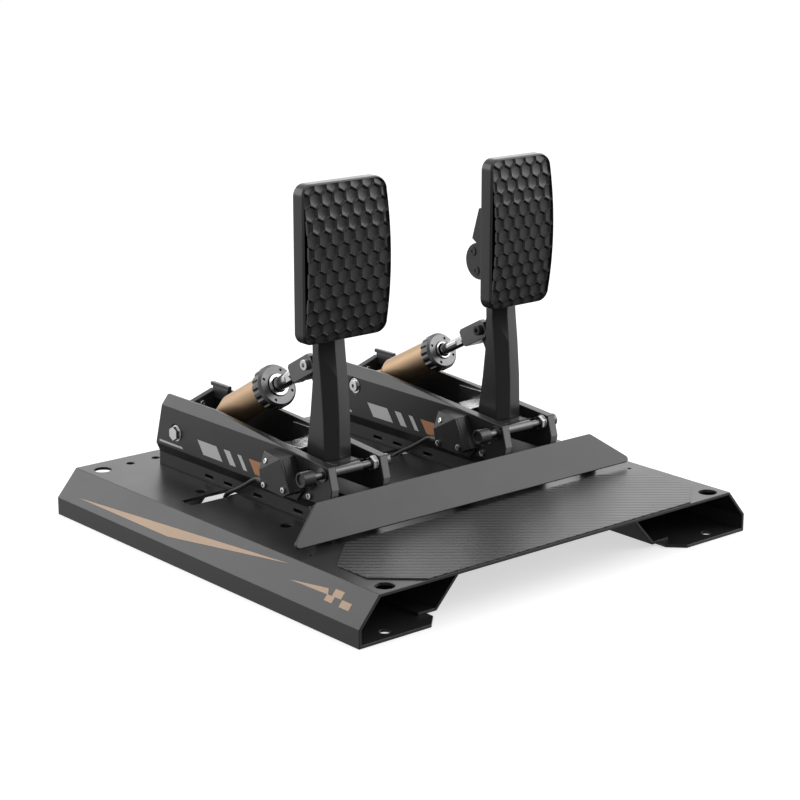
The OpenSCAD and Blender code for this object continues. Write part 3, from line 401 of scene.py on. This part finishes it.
def ribbed_mat(name, base, roughness):
    """Heel mat: fine slanted cords, parted by thin toothed grooves with painted shade in them."""
    finish = Finish(name, base, roughness)
    slant = math.radians(MAT_SLANT)
    along = finish.distance_along((math.cos(slant), -math.sin(slant), 0.0))
    across = finish.distance_along((math.sin(slant), math.cos(slant), 0.0))
    teeth = finish.math("PINGPONG", finish.math("DIVIDE", along, MAT_TOOTH_PITCH * MM), 0.5)
    grooves = finish.math("DIVIDE", across, MAT_GROOVE_PITCH * MM)
    shifted = finish.math("ADD", grooves, finish.math("MULTIPLY", teeth, MAT_TOOTH))
    # From 0 in the middle of a groove up to 1 on the mat: the steep spread makes the grooves thin
    height = finish.spread(finish.math("PINGPONG", shifted, 0.5), -0.25, 4.5)
    height = finish.math("MINIMUM", finish.math("MAXIMUM", height, 0.0), 1.0)
    finish.bump(height, depth_mm=0.16, strength=0.6)
    finish.bump(finish.waves(along, MAT_THREAD_PITCH), depth_mm=0.02, strength=0.3)
    finish.bump(finish.noise(0.4), depth_mm=0.01, strength=0.4)
    # Painted shade: the base colour falls to 0.12 of itself down in the grooves
    finish.tint(height, base, dark=0.12, light=1.05)
    finish.vary_roughness(30.0, roughness - 0.03, roughness + 0.05)
    return finish.material


def board(name):
    """Circuit board: green lacquer over copper tracks."""
    finish = Finish(name, (0.02, 0.16, 0.06), 0.3)
    tracks = finish.add("ShaderNodeTexBrick")
    tracks.inputs["Scale"].default_value = 1.0 / (BOARD_TRACK * MM)
    tracks.inputs["Color1"].default_value = (0.02, 0.15, 0.05, 1)
    tracks.inputs["Color2"].default_value = (0.02, 0.12, 0.05, 1)
    tracks.inputs["Mortar"].default_value = (0.10, 0.26, 0.07, 1)
    finish.link(finish.place, tracks.inputs["Vector"])
    finish.link(tracks.outputs["Color"], finish.shader.inputs["Base Color"])
    finish.bump(tracks.outputs["Fac"], depth_mm=0.05, strength=0.6)
    return finish.material


COAT = coat("satin_coat", (0.023, 0.023, 0.024), 0.34)
WALL_COAT = coat("wall_coat", (0.020, 0.020, 0.021), 0.34)
ARM_COAT = coat("arm_coat", (0.028, 0.028, 0.029), 0.30, grain_mm=0.45)
PAD_PLASTIC = plastic("pad_plastic", (0.022, 0.022, 0.023), 0.28)
CASE_PLASTIC = plastic("case_plastic", (0.020, 0.020, 0.021), 0.42)
MAT_RUBBER = ribbed_mat("mat_rubber", (0.052, 0.052, 0.053), 0.36)
CABLE_RUBBER = plastic("cable_rubber", (0.012, 0.012, 0.012), 0.42, grain_mm=0.8)
CHROME = metal("chrome", (0.70, 0.70, 0.71), 0.12, depth_mm=0.001)
PLATED = metal("plated", (0.66, 0.66, 0.67), 0.24)
GREY_STEEL = metal("grey_steel", (0.20, 0.20, 0.21), 0.36)
BLACK_METAL = coat("black_anodised", (0.022, 0.022, 0.023), 0.30, grain_mm=0.3)
RING_METAL = metal("ring_metal", (0.16, 0.16, 0.163), 0.34)
SLEEVE_METAL = metal("sleeve_metal", (0.50, 0.50, 0.51), 0.22)
AXLE_METAL = metal("axle_metal", (0.12, 0.12, 0.125), 0.30)
# Painted shade: the floor spacer is nearly black, darker than the other coats, to stand for the shade between
# the walls at the front
SPACER_PAINTED_SHADE = coat("spacer_painted_shade", (0.006, 0.006, 0.006), 0.5)
EDGE_METAL = coat("edge_metal", (0.17, 0.17, 0.173), 0.4)
BOARD = board("board")
ELASTOMER = plastic("elastomer", (0.62, 0.22, 0.05), 0.5)
BRONZE = {unit: turned_metal(unit + "_bronze", (0.50, 0.35, 0.22), 0.48, unit) for unit in UNIT_X}
STRIPE = coat("stripe_paint", (0.50, 0.34, 0.22), 0.42)
SILVER_PAINT = coat("silver_paint", (0.62, 0.62, 0.63), 0.36)
ORANGE_PAINT = coat("orange_paint", (0.52, 0.25, 0.13), 0.42)

# Mesh helpers. Angles are in degrees, sizes in millimetres.
SHADE_ANGLE = 35.0
SHARP_TURN = 33.0
CREASE_TURN = 11.0
BROAD_FACE = 150.0
FLAT_TURN = 0.5
NODE_WELD = 0.004
PAD_WELD = 0.002
NUT_CHAMFER = 0.5
HEAD_EDGE = 0.5
HEAD_SEGMENTS = 36
RECESS_FLOOR = 0.35
SEAT = 0.05
TIP_CHAMFER = 0.4
THREAD_PITCH = 1.0
THREAD_DEPTH = 0.32
# A ridge of a screw thread: how deep it lies, and at which share of the pitch
THREAD_RIDGE = [(THREAD_DEPTH, 0.05), (0.0, 0.45), (0.0, 0.6), (THREAD_DEPTH, 0.95)]
PAINT_LIFT = 0.06
PIECES = []


def finish_mesh(name, bm, material, body, nodes=(), sharp=SHADE_ANGLE):
    """Turns a bmesh in millimetres into a piece that rides on a body and stands for the CAD nodes."""
    bmesh.ops.recalc_face_normals(bm, faces=bm.faces)
    bm.transform(Matrix.Scale(MM, 4))
    mesh = bpy.data.meshes.new(name)
    bm.to_mesh(mesh)
    bm.free()
    mesh.shade_smooth()
    mesh.set_sharp_from_angle(angle=math.radians(sharp))
    mesh.materials.append(material)
    piece = bpy.data.objects.new(name, mesh)
    bpy.context.scene.collection.objects.link(piece)
    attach(piece, body)
    if nodes:
        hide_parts(*nodes)
    PIECES.append(piece)


def body_of(node):
    for name, members in frame["record"]["behaviour"]["bodies"].items():
        if node in members:
            return name
    raise ValueError(node)


def stand_in(node, bm, material, sharp=SHADE_ANGLE):
    """A piece that replaces a CAD node on its body."""
    finish_mesh(node + "_skin", bm, material, body_of(node), [node], sharp)


def weigh_normals():
    """Bakes normals weighted by face area, so that broad faces shade flat up to their rounded edges."""
    for piece in PIECES:
        piece.modifiers.new("weighted", "WEIGHTED_NORMAL").keep_sharp = True
    graph = bpy.context.evaluated_depsgraph_get()
    baked = [bpy.data.meshes.new_from_object(piece.evaluated_get(graph)) for piece in PIECES]
    for piece, mesh in zip(PIECES, baked):
        piece.modifiers.clear()
        piece.data = mesh


def round_edges(bm, width, segments, gentle):
    """Bevels sharp edges and, where gentle is set, also the slight creases of broad faces."""
    edges = []
    for edge in bm.edges:
        if len(edge.link_faces) == 2:
            turn = math.degrees(edge.calc_face_angle(0.0))
            broad = max(face.calc_area() for face in edge.link_faces) > BROAD_FACE
            if turn > SHARP_TURN or (gentle and broad and turn > CREASE_TURN):
                edges.append(edge)
    if edges:
        bmesh.ops.bevel(bm, geom=edges, offset=width, offset_type="OFFSET", segments=segments, profile=0.5,
                        affect="EDGES", clamp_overlap=False)


def node_copy(node):
    """The CAD node's surface in millimetres, welded, with its flat faces whole."""
    bm = bmesh.new()
    bm.from_mesh(frame["nodes"][node].data)
    bm.transform(Matrix.Scale(1 / MM, 4))
    bmesh.ops.remove_doubles(bm, verts=bm.verts, dist=NODE_WELD)
    bmesh.ops.dissolve_limit(bm, angle_limit=math.radians(FLAT_TURN), verts=bm.verts, edges=bm.edges,
                             use_dissolve_boundaries=False)
    return bm


def softened(node, material, width, segments=2, crisp=None):
    """A copy of a CAD node with rounded edges.

    With a crisp angle its slight creases stay unrounded, and it shades sharp above that angle.
    """
    bm = node_copy(node)
    round_edges(bm, width, segments, gentle=crisp is None)
    stand_in(node, bm, material, crisp or SHADE_ANGLE)


def axis_place(at, direction):
    """Matrix whose local Z runs along a direction from a point."""
    z = Vector(direction).normalized()
    x = Vector((0, 0, 1)) if abs(z.z) < 0.9 else Vector((1, 0, 0))
    x = (x - z * x.dot(z)).normalized()
    turn = Matrix((x, z.cross(x), z)).transposed().to_4x4()
    return Matrix.Translation(Vector(at)) @ turn


def circle(bm, place, radius, along, segments):
    """Vertices round the local Z axis of a place matrix, or a single one where the radius is 0."""
    if radius == 0:
        return [bm.verts.new(place @ Vector((0, 0, along)))]
    return [bm.verts.new(place @ Vector((radius * math.cos(t), radius * math.sin(t), along)))
            for t in (2 * math.pi * i / segments for i in range(segments))]


def bridge(bm, rings):
    """Joins each closed ring of vertices to the next one, which has as many."""
    for a, b in zip(rings, rings[1:]):
        for i in range(len(a)):
            j = (i + 1) % len(a)
            bm.faces.new([a[i], a[j], b[j], b[i]])


def lathe(bm, profile, place, segments):
    """Turns a profile of (radius, along) about the local Z axis of a place matrix."""
    rings = [circle(bm, place, radius, along, segments) for radius, along in profile]
    for a, b in zip(rings, rings[1:]):
        for i in range(segments):
            j = (i + 1) % segments
            # Where a ring is a single vertex, the face is a triangle
            loop = list(dict.fromkeys([a[i % len(a)], a[j % len(a)], b[j % len(b)], b[i % len(b)]]))
            if len(loop) > 2:
                bm.faces.new(loop)


def hexagon(bm, place, across, height):
    """A chamfered nut or bolt head from local z 0 up to height."""
    corner = across / math.sqrt(3)
    slope = 0.6 * NUT_CHAMFER
    inner = corner - NUT_CHAMFER
    levels = [(inner, 0), (corner, slope), (corner, height - slope), (inner, height)]
    rings = [circle(bm, place, radius, along, 6) for radius, along in levels]
    bridge(bm, rings)
    bm.faces.new(rings[0][::-1])
    bm.faces.new(rings[-1])


def recess_ring(bm, place, key, along):
    """Vertices on a hexagon of a key's size, as many as a round screw head has."""
    corner = key / math.sqrt(3)
    steps = HEAD_SEGMENTS // 6
    ring = []
    for i in range(HEAD_SEGMENTS):
        side, part = divmod(i, steps)
        start, end = (Vector((corner * math.cos(t), corner * math.sin(t), along))
                      for t in (math.pi * side / 3, math.pi * (side + 1) / 3))
        ring.append(bm.verts.new(place @ start.lerp(end, part / steps)))
    return ring


def socket_head(bm, place, radius, height, key):
    """A round screw head from local z 0 up to height, with a hexagonal recess."""
    edge = min(HEAD_EDGE, height * 0.3)
    near = 0.3 * edge
    profile = [(radius, 0), (radius, height - edge), (radius - near, height - near), (radius - edge, height)]
    rings = [circle(bm, place, r, along, HEAD_SEGMENTS) for r, along in profile]
    rings += [recess_ring(bm, place, key, along) for along in (height, height * RECESS_FLOOR)]
    bridge(bm, rings)
    bm.faces.new(rings[-1])
    bm.faces.new(rings[0][::-1])


def thread(radius, low, high):
    """Lathe profile of a screw thread, as closed ridges."""
    count = max(1, int((high - low) / THREAD_PITCH))
    step = (high - low) / count
    return [(radius - deep, low + i * step + share * step)
            for i in range(count) for deep, share in THREAD_RIDGE]


def screw(bm, at, direction, radius, height, key, shaft, length):
    """A socket screw whose head stands up from a point along a direction, over a threaded shaft."""
    place = axis_place(at, direction)
    socket_head(bm, place, radius, height, key)
    tip = [(0, -length), (shaft - 0.35, -length)]
    lathe(bm, [*tip, *thread(shaft, 0.3 - length, -SEAT), (0, -SEAT)], place, 20)


def pin(bm, place, radius, top, tip):
    """A plain shaft along local Z, from its top down to a chamfered tip."""
    profile = [(0, top), (radius, top), (radius, tip + TIP_CHAMFER), (radius - TIP_CHAMFER, tip), (0, tip)]
    lathe(bm, profile, place, 32)


def collar(bm, place, bore, radius, low, high):
    """A washer or spacer along local Z with broken outer edges."""
    edge = 0.2
    outside = [(radius - edge, low), (radius, low + edge), (radius, high - edge), (radius - edge, high)]
    lathe(bm, [(bore, low), *outside, (bore, high)], place, 40)


def tube(points, radius, sides):
    """A round tube along a polyline in millimetres, with closed ends."""
    bm = bmesh.new()
    points = [Vector(p) for p in points]
    normal = Vector((1, 0, 0))
    rings = []
    for i, point in enumerate(points):
        tangent = (points[min(i + 1, len(points) - 1)] - points[max(i - 1, 0)]).normalized()
        normal = (normal - tangent * normal.dot(tangent)).normalized()
        side = tangent.cross(normal)
        rings.append([bm.verts.new(point + radius * (math.cos(t) * normal + math.sin(t) * side))
                      for t in (2 * math.pi * k / sides for k in range(sides))])
    bridge(bm, rings)
    bm.faces.new(rings[0][::-1])
    bm.faces.new(rings[-1])
    return bm


def curve_through(points, steps):
    """Catmull-Rom curve through the points."""
    result = []
    last = len(points) - 1
    for i in range(last):
        p = [Vector(points[max(0, min(last, k))]) for k in (i - 1, i, i + 1, i + 2)]
        for s in range(steps):
            t = s / steps
            result.append(0.5 * (2 * p[1] + (p[2] - p[0]) * t
                                 + (2 * p[0] - 5 * p[1] + 4 * p[2] - p[3]) * t * t
                                 + (3 * p[1] - p[0] - 3 * p[2] + p[3]) * t**3))
    result.append(Vector(points[last]))
    return result


def decal(name, outline, material, lift=(0, 0, 0)):
    """A painted shape on the base body: its outline in millimetres, lifted off its surface."""
    bm = bmesh.new()
    bm.faces.new([bm.verts.new(Vector(p) + Vector(lift)) for p in outline])
    bmesh.ops.triangulate(bm, faces=bm.faces)
    finish_mesh(name, bm, material, "base")


# Base. The stripes on its sloping sides are outlines of (y, z).
SIDE_STRIPES = {
    "side_stripe": [(168.4, 19.4), (42.6, 19.4), (-96.8, 32.6)],
    "side_wedge": [(-106.5, 24.7), (-150.1, 25.3), (-147.0, 28.6)],
    "side_square_a": [(-154.0, 29.8), (-154.0, 25.4), (-164.0, 25.6), (-164.0, 30.0)],
    "side_square_b": [(-148.8, 25.4), (-148.8, 21.7), (-157.4, 21.7), (-157.4, 25.4)],
    "side_square_c": [(-165.6, 25.6), (-165.6, 21.4), (-176.4, 21.4), (-176.4, 25.6)],
}
CABLE_R = 1.8
CABLE = [
    (-134.5, 4.6, 62.4), (-134.5, 10, 61), (-133.8, 22, 54), (-132.4, 34, 47.5), (-130.5, 46, 41.8),
    (-128, 56, 36.4), (-124, 64, 31), (-116, 71, 27.4), (-105, 74.6, 26), (-88, 75, 26),
    (-60, 75, 26), (-30, 75, 26), (0, 75, 26), (20, 75, 26), (32, 74, 26.3), (40, 70, 28),
    (46.5, 63, 31.4), (48.4, 56, 36.4), (46.8, 46, 41.8), (44.4, 34, 47.5),
    (42.2, 22, 54), (40.9, 10, 61), (40.9, 4.6, 62.4),
]


def slope_point(y, z):
    """A point on the left sloping side at a place along it and a height."""
    rise = (z - SKIRT_H) / (BASE_H - SKIRT_H)
    return (-(TOP_HALF + SLOPE_W * (1 - rise)), y, z)


def side_stripes():
    """Painted shapes on the left sloping side, mirrored on the right one."""
    lift = Vector((-(BASE_H - SKIRT_H), 0, SLOPE_W)).normalized() * PAINT_LIFT
    for name, outline in SIDE_STRIPES.items():
        left = [slope_point(*p) for p in outline]
        decal(name, left, STRIPE, lift)
        decal(name + "_right", [(-x, y, z) for x, y, z in left][::-1], STRIPE, (-lift.x, lift.y, lift.z))


def kick_screws():
    """Screws through the kick plate's brackets and the base, with their nuts below."""
    up = (0, 0, 1)
    bm = bmesh.new()
    for x in KICK_SCREW_X:
        at = (x, KICK_SCREW_Y, BASE_H + SHEET_T)
        screw(bm, at, up, radius=4.5, height=2.8, key=3, shaft=2.5, length=11)
        hexagon(bm, axis_place((x, KICK_SCREW_Y, UNDER_Z - 4), up), across=8, height=4)
    stand_in("kick_screws", bm, GREY_STEEL)


# Pads. Each hexagon is a hollow whose rings shrink by these shares of its corner radius.
CORNER_STEPS = 8
DIMPLE_PITCH = 11.1
DIMPLE_DEPTH = 2.0
DIMPLE_LIP = 0.1
DIMPLE_SHARES = (1.0, 0.95, 0.88, 0.75, 0.4)
DIMPLE_POWER = 8
PAD_RIM = 1.1
# Levels of the pad's shell: how far in from its outline, and how deep below its face
PAD_SHELL = [(PAD_RIM, 0.0), (0.95, 0.04), (0.8, 0.2), (0.15, 1.6), (0.0, 2.1)]
# Levels of its back edge: how far in from its outline, and how far before its back
PAD_BACK_EDGE = [(0.0, 0.8), (0.25, 0.2), (0.9, 0.0)]


def pad_face(z):
    """Depth of the pad's bowed face at a height."""
    return PAD_FRONT + PAD_RADIUS - math.sqrt(PAD_RADIUS**2 - (z - PAD_MID_Z) ** 2)


def pad_outline(width, inset):
    """Corner-rounded outline of a pad as (x, z), counter-clockwise from the front, pulled in by inset."""
    r = max(PAD_CORNER - inset, 1.0)
    x = width / 2 - inset - r
    z_low, z_high = PAD_LOW + inset + r, PAD_LOW + PAD_H - inset - r
    points = []
    for cx, cz, start in ((x, z_low, -90), (x, z_high, 0), (-x, z_high, 90), (-x, z_low, 180)):
        for i in range(CORNER_STEPS + 1):
            t = math.radians(start + 90 * i / CORNER_STEPS)
            points.append((cx + r * math.cos(t), cz + r * math.sin(t)))
    return points


def honeycomb(width, inset):
    """Hollow hexagons as a sheet of (x, depth, z), clipped to the pad's inner outline."""
    bm = bmesh.new()
    corner = DIMPLE_PITCH / math.sqrt(3)
    row = DIMPLE_PITCH * math.sqrt(3) / 2
    rows = int(PAD_H / row / 2) + 2
    cols = int(width / DIMPLE_PITCH / 2) + 2
    turns = [math.radians(30 + 60 * k) for k in range(6)]
    for i in range(-rows, rows + 1):
        for j in range(-cols, cols + 1):
            cx = (j + (abs(i) % 2) / 2) * DIMPLE_PITCH
            cz = PAD_MID_Z + i * row
            rings = []
            for share in DIMPLE_SHARES:
                r = corner * share
                depth = max(DIMPLE_DEPTH * (1 - share**DIMPLE_POWER), DIMPLE_LIP)
                rings.append([bm.verts.new((cx + r * math.cos(t), depth, cz + r * math.sin(t)))
                              for t in turns])
            centre = bm.verts.new((cx, DIMPLE_DEPTH, cz))
            bridge(bm, rings)
            inner = rings[-1]
            for a, b in zip(inner, inner[1:] + inner[:1]):
                bm.faces.new([a, b, centre])
    outline = pad_outline(width, inset)
    for (x0, z0), (x1, z1) in zip(outline, outline[1:] + outline[:1]):
        run = Vector((x1 - x0, 0, z1 - z0))
        if run.length < 1e-4:
            continue
        out = Vector((run.z, 0, -run.x)).normalized()
        geometry = bm.verts[:] + bm.edges[:] + bm.faces[:]
        bmesh.ops.bisect_plane(bm, geom=geometry, plane_co=(x0, 0, z0), plane_no=out, clear_outer=True,
                               dist=1e-5)
    bmesh.ops.remove_doubles(bm, verts=bm.verts, dist=PAD_WELD)
    return bm


def pad(unit):
    """A bowed pad: its honeycomb, the shell round it and its back.

    The outline has no points between its corners, so along the two long sides the shell runs straight
    while the honeycomb is bowed. That leaves a slot between them.
    """
    width = PAD_W[unit]
    bm = honeycomb(width, PAD_RIM)
    border = [e for e in bm.edges if len(e.link_faces) == 1]
    walls = bmesh.ops.extrude_edge_only(bm, edges=border)["geom"]
    for v in (g for g in walls if isinstance(g, bmesh.types.BMVert)):
        v.co.y = 0.0
    shell = [[bm.verts.new((x, depth, z)) for x, z in pad_outline(width, inset)]
             for inset, depth in PAD_SHELL]
    bridge(bm, shell)
    for v in bm.verts:
        v.co.y += pad_face(v.co.z)
    back = [[bm.verts.new((x, PAD_BACK - before, z)) for x, z in pad_outline(width, inset)]
            for inset, before in PAD_BACK_EDGE]
    bridge(bm, [shell[-1]] + back)
    bm.faces.new(back[-1])
    bmesh.ops.remove_doubles(bm, verts=bm.verts, dist=PAD_WELD)
    bm.transform(Matrix.Translation((UNIT_X[unit], 0, 0)))
    stand_in(unit + "_pad", bm, PAD_PLASTIC, sharp=28.0)


# Pedal units. The marks on the left walls and the walls' front ends are outlines of (y, z).
MARK_TOP = 72.5
MARK_LOW = 61.5
MARK_SLANT = 8
WALL_FRONT = [(-71.2, 57.6), (-75.4, 66.0), (-76.3, 70.6), (-71.7, 86.6)]
WALL_END_INSET = 0.7
PIVOT_R = 3
SPRING_R = 7.0
SPRING_WIRE_R = 1.2
SPRING_TURNS = 7
SPRING_STEPS = 24
SPRING_LOW = 87.3
SPRING_HIGH = 131.8


def dash(back, front):
    """A slanted mark between two places along the wall."""
    top = [(back, MARK_TOP), (front, MARK_TOP)]
    return top + [(front - MARK_SLANT, MARK_LOW), (back - MARK_SLANT, MARK_LOW)]


def wall_art(unit):
    """Generic painted marks on the left wall: a slim bar, three slanted dashes and a bronze block."""
    x = UNIT_X[unit] - OUTER_X - PAINT_LIFT
    bar = [(150, 61.2), (118, 61.2), (116.6, 59.4), (150.6, 59.4)]
    marks = {
        "silver": (SILVER_PAINT, [bar, dash(96, 70), dash(60, 52), dash(42, 37)]),
        "bronze": (ORANGE_PAINT, [dash(27, 10)]),
    }
    for tone, (paint, outlines) in marks.items():
        for k, outline in enumerate(outlines):
            decal(f"{unit}_mark_{tone}_{k}", [(x, y, z) for y, z in outline], paint)


def wall_ends(unit):
    """Bare cut faces at the front of both side walls."""
    for side in (-1, 1):
        edges = (INNER_X + WALL_END_INSET, OUTER_X - WALL_END_INSET)
        low, high = sorted(UNIT_X[unit] + side * x for x in edges)
        for k, ((y0, z0), (y1, z1)) in enumerate(zip(WALL_FRONT, WALL_FRONT[1:])):
            lift = Vector((0, z0 - z1, y1 - y0)).normalized() * PAINT_LIFT
            outline = [(low, y0, z0), (high, y0, z0), (high, y1, z1), (low, y1, z1)]
            decal(f"{unit}_wall_end_{side + 1}_{k}", outline, EDGE_METAL, lift)


def unit_screws(unit):
    """Screws of the sensor case, the left wall, the rear plate and the wall feet."""
    x = UNIT_X[unit]
    left = x - OUTER_X
    case = left - CASE_W
    outward = (-1, 0, 0)
    case_length = CASE_W + WALL_GRIP
    bm = bmesh.new()
    for place in CASE_SCREWS:
        screw(bm, (case, *place), outward, radius=2.4, height=1.6, key=2.0, shaft=1.5, length=case_length)
    offset, y, z = CASE_TOP_SCREW
    screw(bm, (x + offset, y, z), CASE_SLANT, radius=2.2, height=0.8, key=1.8, shaft=1.2, length=5)
    screw(bm, (left, *WALL_SCREW), outward, radius=2.8, height=1.8, key=2.4, shaft=2.0, length=WALL_GRIP)
    offset, y, z = PLATE_SCREW
    screw(bm, (x + offset, y, z), (0, -1, 0), radius=3.0, height=2.6, key=2.5, shaft=1.5, length=WALL_GRIP)
    for side in (-1, 1):
        for y in FOOT_SCREW_Y:
            at = (x + side * FOOT_MID_X, y, UNDER_Z)
            screw(bm, at, (0, 0, -1), radius=4.0, height=3.0, key=3.0, shaft=2.0, length=10.4)
    stand_in(unit + "_unit_screws", bm, PLATED)


def pad_screws(unit):
    """Screws into the pad's back, and the two flat-headed bolts through the bracket's head."""
    x = UNIT_X[unit]
    bm = bmesh.new()
    for side in (-1, 1):
        for z in PAD_SCREW_Z:
            at = (x + side * PAD_SCREW_X, PAD_BACK + BRACKET_T, z)
            screw(bm, at, (0, 1, 0), radius=3.6, height=2.6, key=2.5, shaft=2.0, length=9)
    flat = {"radius": 3.6, "height": 0.8, "key": 2.6}
    for back, up in HEAD_BOLTS:
        y, z = HEAD_Y[unit] + back, HEAD_Z + up
        screw(bm, (x - HEAD_HALF, y, z), (-1, 0, 0), **flat, shaft=2.5, length=2 * HEAD_HALF)
        socket_head(bm, axis_place((x + HEAD_HALF, y, z), (1, 0, 0)), **flat)
    stand_in(unit + "_pad_screws", bm, BLACK_METAL)


def clevis_bolt(unit, material):
    """Pin through the clevis: a socket head on its left, a nut on its right."""
    x = UNIT_X[unit]
    left = axis_place((x - CLEVIS_HALF, *PIN), (-1, 0, 0))
    bm = bmesh.new()
    socket_head(bm, left, radius=4.2, height=3.2, key=3.4)
    pin(bm, left, radius=3.0, top=-SEAT, tip=-24.1)
    hexagon(bm, axis_place((x + CLEVIS_HALF, *PIN), (1, 0, 0)), across=9, height=4)
    stand_in(unit + "_clevis_bolt", bm, material)


def round_pivot_bolt(unit):
    """Rear pivot bolt with a round head on the left wall, washers, spacers beside the eye, and a nut."""
    x = UNIT_X[unit]
    y, z = REAR_PIVOT[unit]
    line = axis_place((x, y, z), (-1, 0, 0))
    bm = bmesh.new()
    socket_head(bm, axis_place((x - OUTER_X, y, z), (-1, 0, 0)), radius=4.9, height=2.0, key=3.4)
    pin(bm, line, PIVOT_R, top=OUTER_X - SEAT, tip=-OUTER_X - 7)
    bore = PIVOT_R + SEAT
    collar(bm, line, bore, radius=6.6, low=OUTER_X - 1, high=OUTER_X)
    collar(bm, line, bore, radius=5, low=EYE_HALF, high=INNER_X)
    collar(bm, line, bore, radius=5, low=-INNER_X, high=-EYE_HALF)
    collar(bm, line, bore, radius=6.6, low=-OUTER_X - 1, high=-OUTER_X)
    hexagon(bm, axis_place((x + OUTER_X + 1, y, z), (1, 0, 0)), across=10, height=5)
    stand_in(unit + "_pivot_bolt", bm, PLATED)


def spring():
    """The throttle's coil spring inside its damper."""
    drop = damper_drop("throttle")
    count = SPRING_TURNS * SPRING_STEPS
    points = []
    for i in range(count + 1):
        t = 2 * math.pi * i / SPRING_STEPS
        along = SPRING_LOW + (SPRING_HIGH - SPRING_LOW) * i / count
        side, up = SPRING_R * math.cos(t), SPRING_R * math.sin(t)
        points.append((UNIT_X["throttle"] + side, PIN[0] + along * math.cos(drop) + up * math.sin(drop),
                       PIN[1] - along * math.sin(drop) + up * math.cos(drop)))
    stand_in("throttle_spring", tube(points, SPRING_WIRE_R, 12), GREY_STEEL)


def unit_pieces(unit):
    softened(unit + "_left_wall", WALL_COAT, 0.4)
    softened(unit + "_right_wall", WALL_COAT, 0.4)
    # The nearly black spacer paints the shade between the walls
    softened(unit + "_floor_spacer", SPACER_PAINTED_SHADE, 0.3)
    softened(unit + "_rear_plate", WALL_COAT, 0.4)
    softened(unit + "_stop_bracket", PLATED, 0.3)
    softened(unit + "_top_rail", BLACK_METAL, 0.3)
    unit_screws(unit)
    if unit == "throttle":
        round_pivot_bolt(unit)
    else:
        softened(unit + "_pivot_bolt", PLATED, 0.25)
    softened(unit + "_sensor_case", CASE_PLASTIC, 0.5)
    softened(unit + "_sensor_lid", CASE_PLASTIC, 0.4)
    softened(unit + "_sensor_board", BOARD, 0.1, segments=1)
    softened(unit + "_sensor_hub", BLACK_METAL, 0.3)
    softened(unit + "_axle", AXLE_METAL, 0.25)
    softened(unit + "_axle_nut", PLATED, 0.3)
    softened(unit + "_arm_foot", ARM_COAT, 0.6)
    softened(unit + "_arm", ARM_COAT, 0.7, segments=3)
    clevis_bolt(unit, PLATED if unit == "brake" else BLACK_METAL)
    softened(unit + "_pad_bracket", ARM_COAT, 0.4)
    pad_screws(unit)
    pad(unit)
    softened(unit + "_clevis", RING_METAL, 0.5)
    softened(unit + "_rod", CHROME, 0.25)
    softened(unit + "_preload_ring", RING_METAL, 0.3, crisp=25.0)
    softened(unit + "_guide_sleeve", SLEEVE_METAL, 0.2)
    softened(unit + "_cylinder", BRONZE[unit], 0.35, crisp=13.0)
    wall_art(unit)
    wall_ends(unit)


softened("base_plate", COAT, 0.45)
softened("side_braces", COAT, 0.4)
softened("kick_plate", COAT, 0.6, segments=3)
softened("kick_brackets", COAT, 0.4)
side_stripes()
softened("heel_mat", MAT_RUBBER, 0.25)
stand_in("sensor_cable", tube(curve_through(CABLE, 6), CABLE_R, 18), CABLE_RUBBER)
softened("cable_clips", CASE_PLASTIC, 0.3)
for unit in UNIT_X:
    unit_pieces(unit)
kick_screws()
softened("brake_elastomers", ELASTOMER, 0.5)
spring()

weigh_normals()
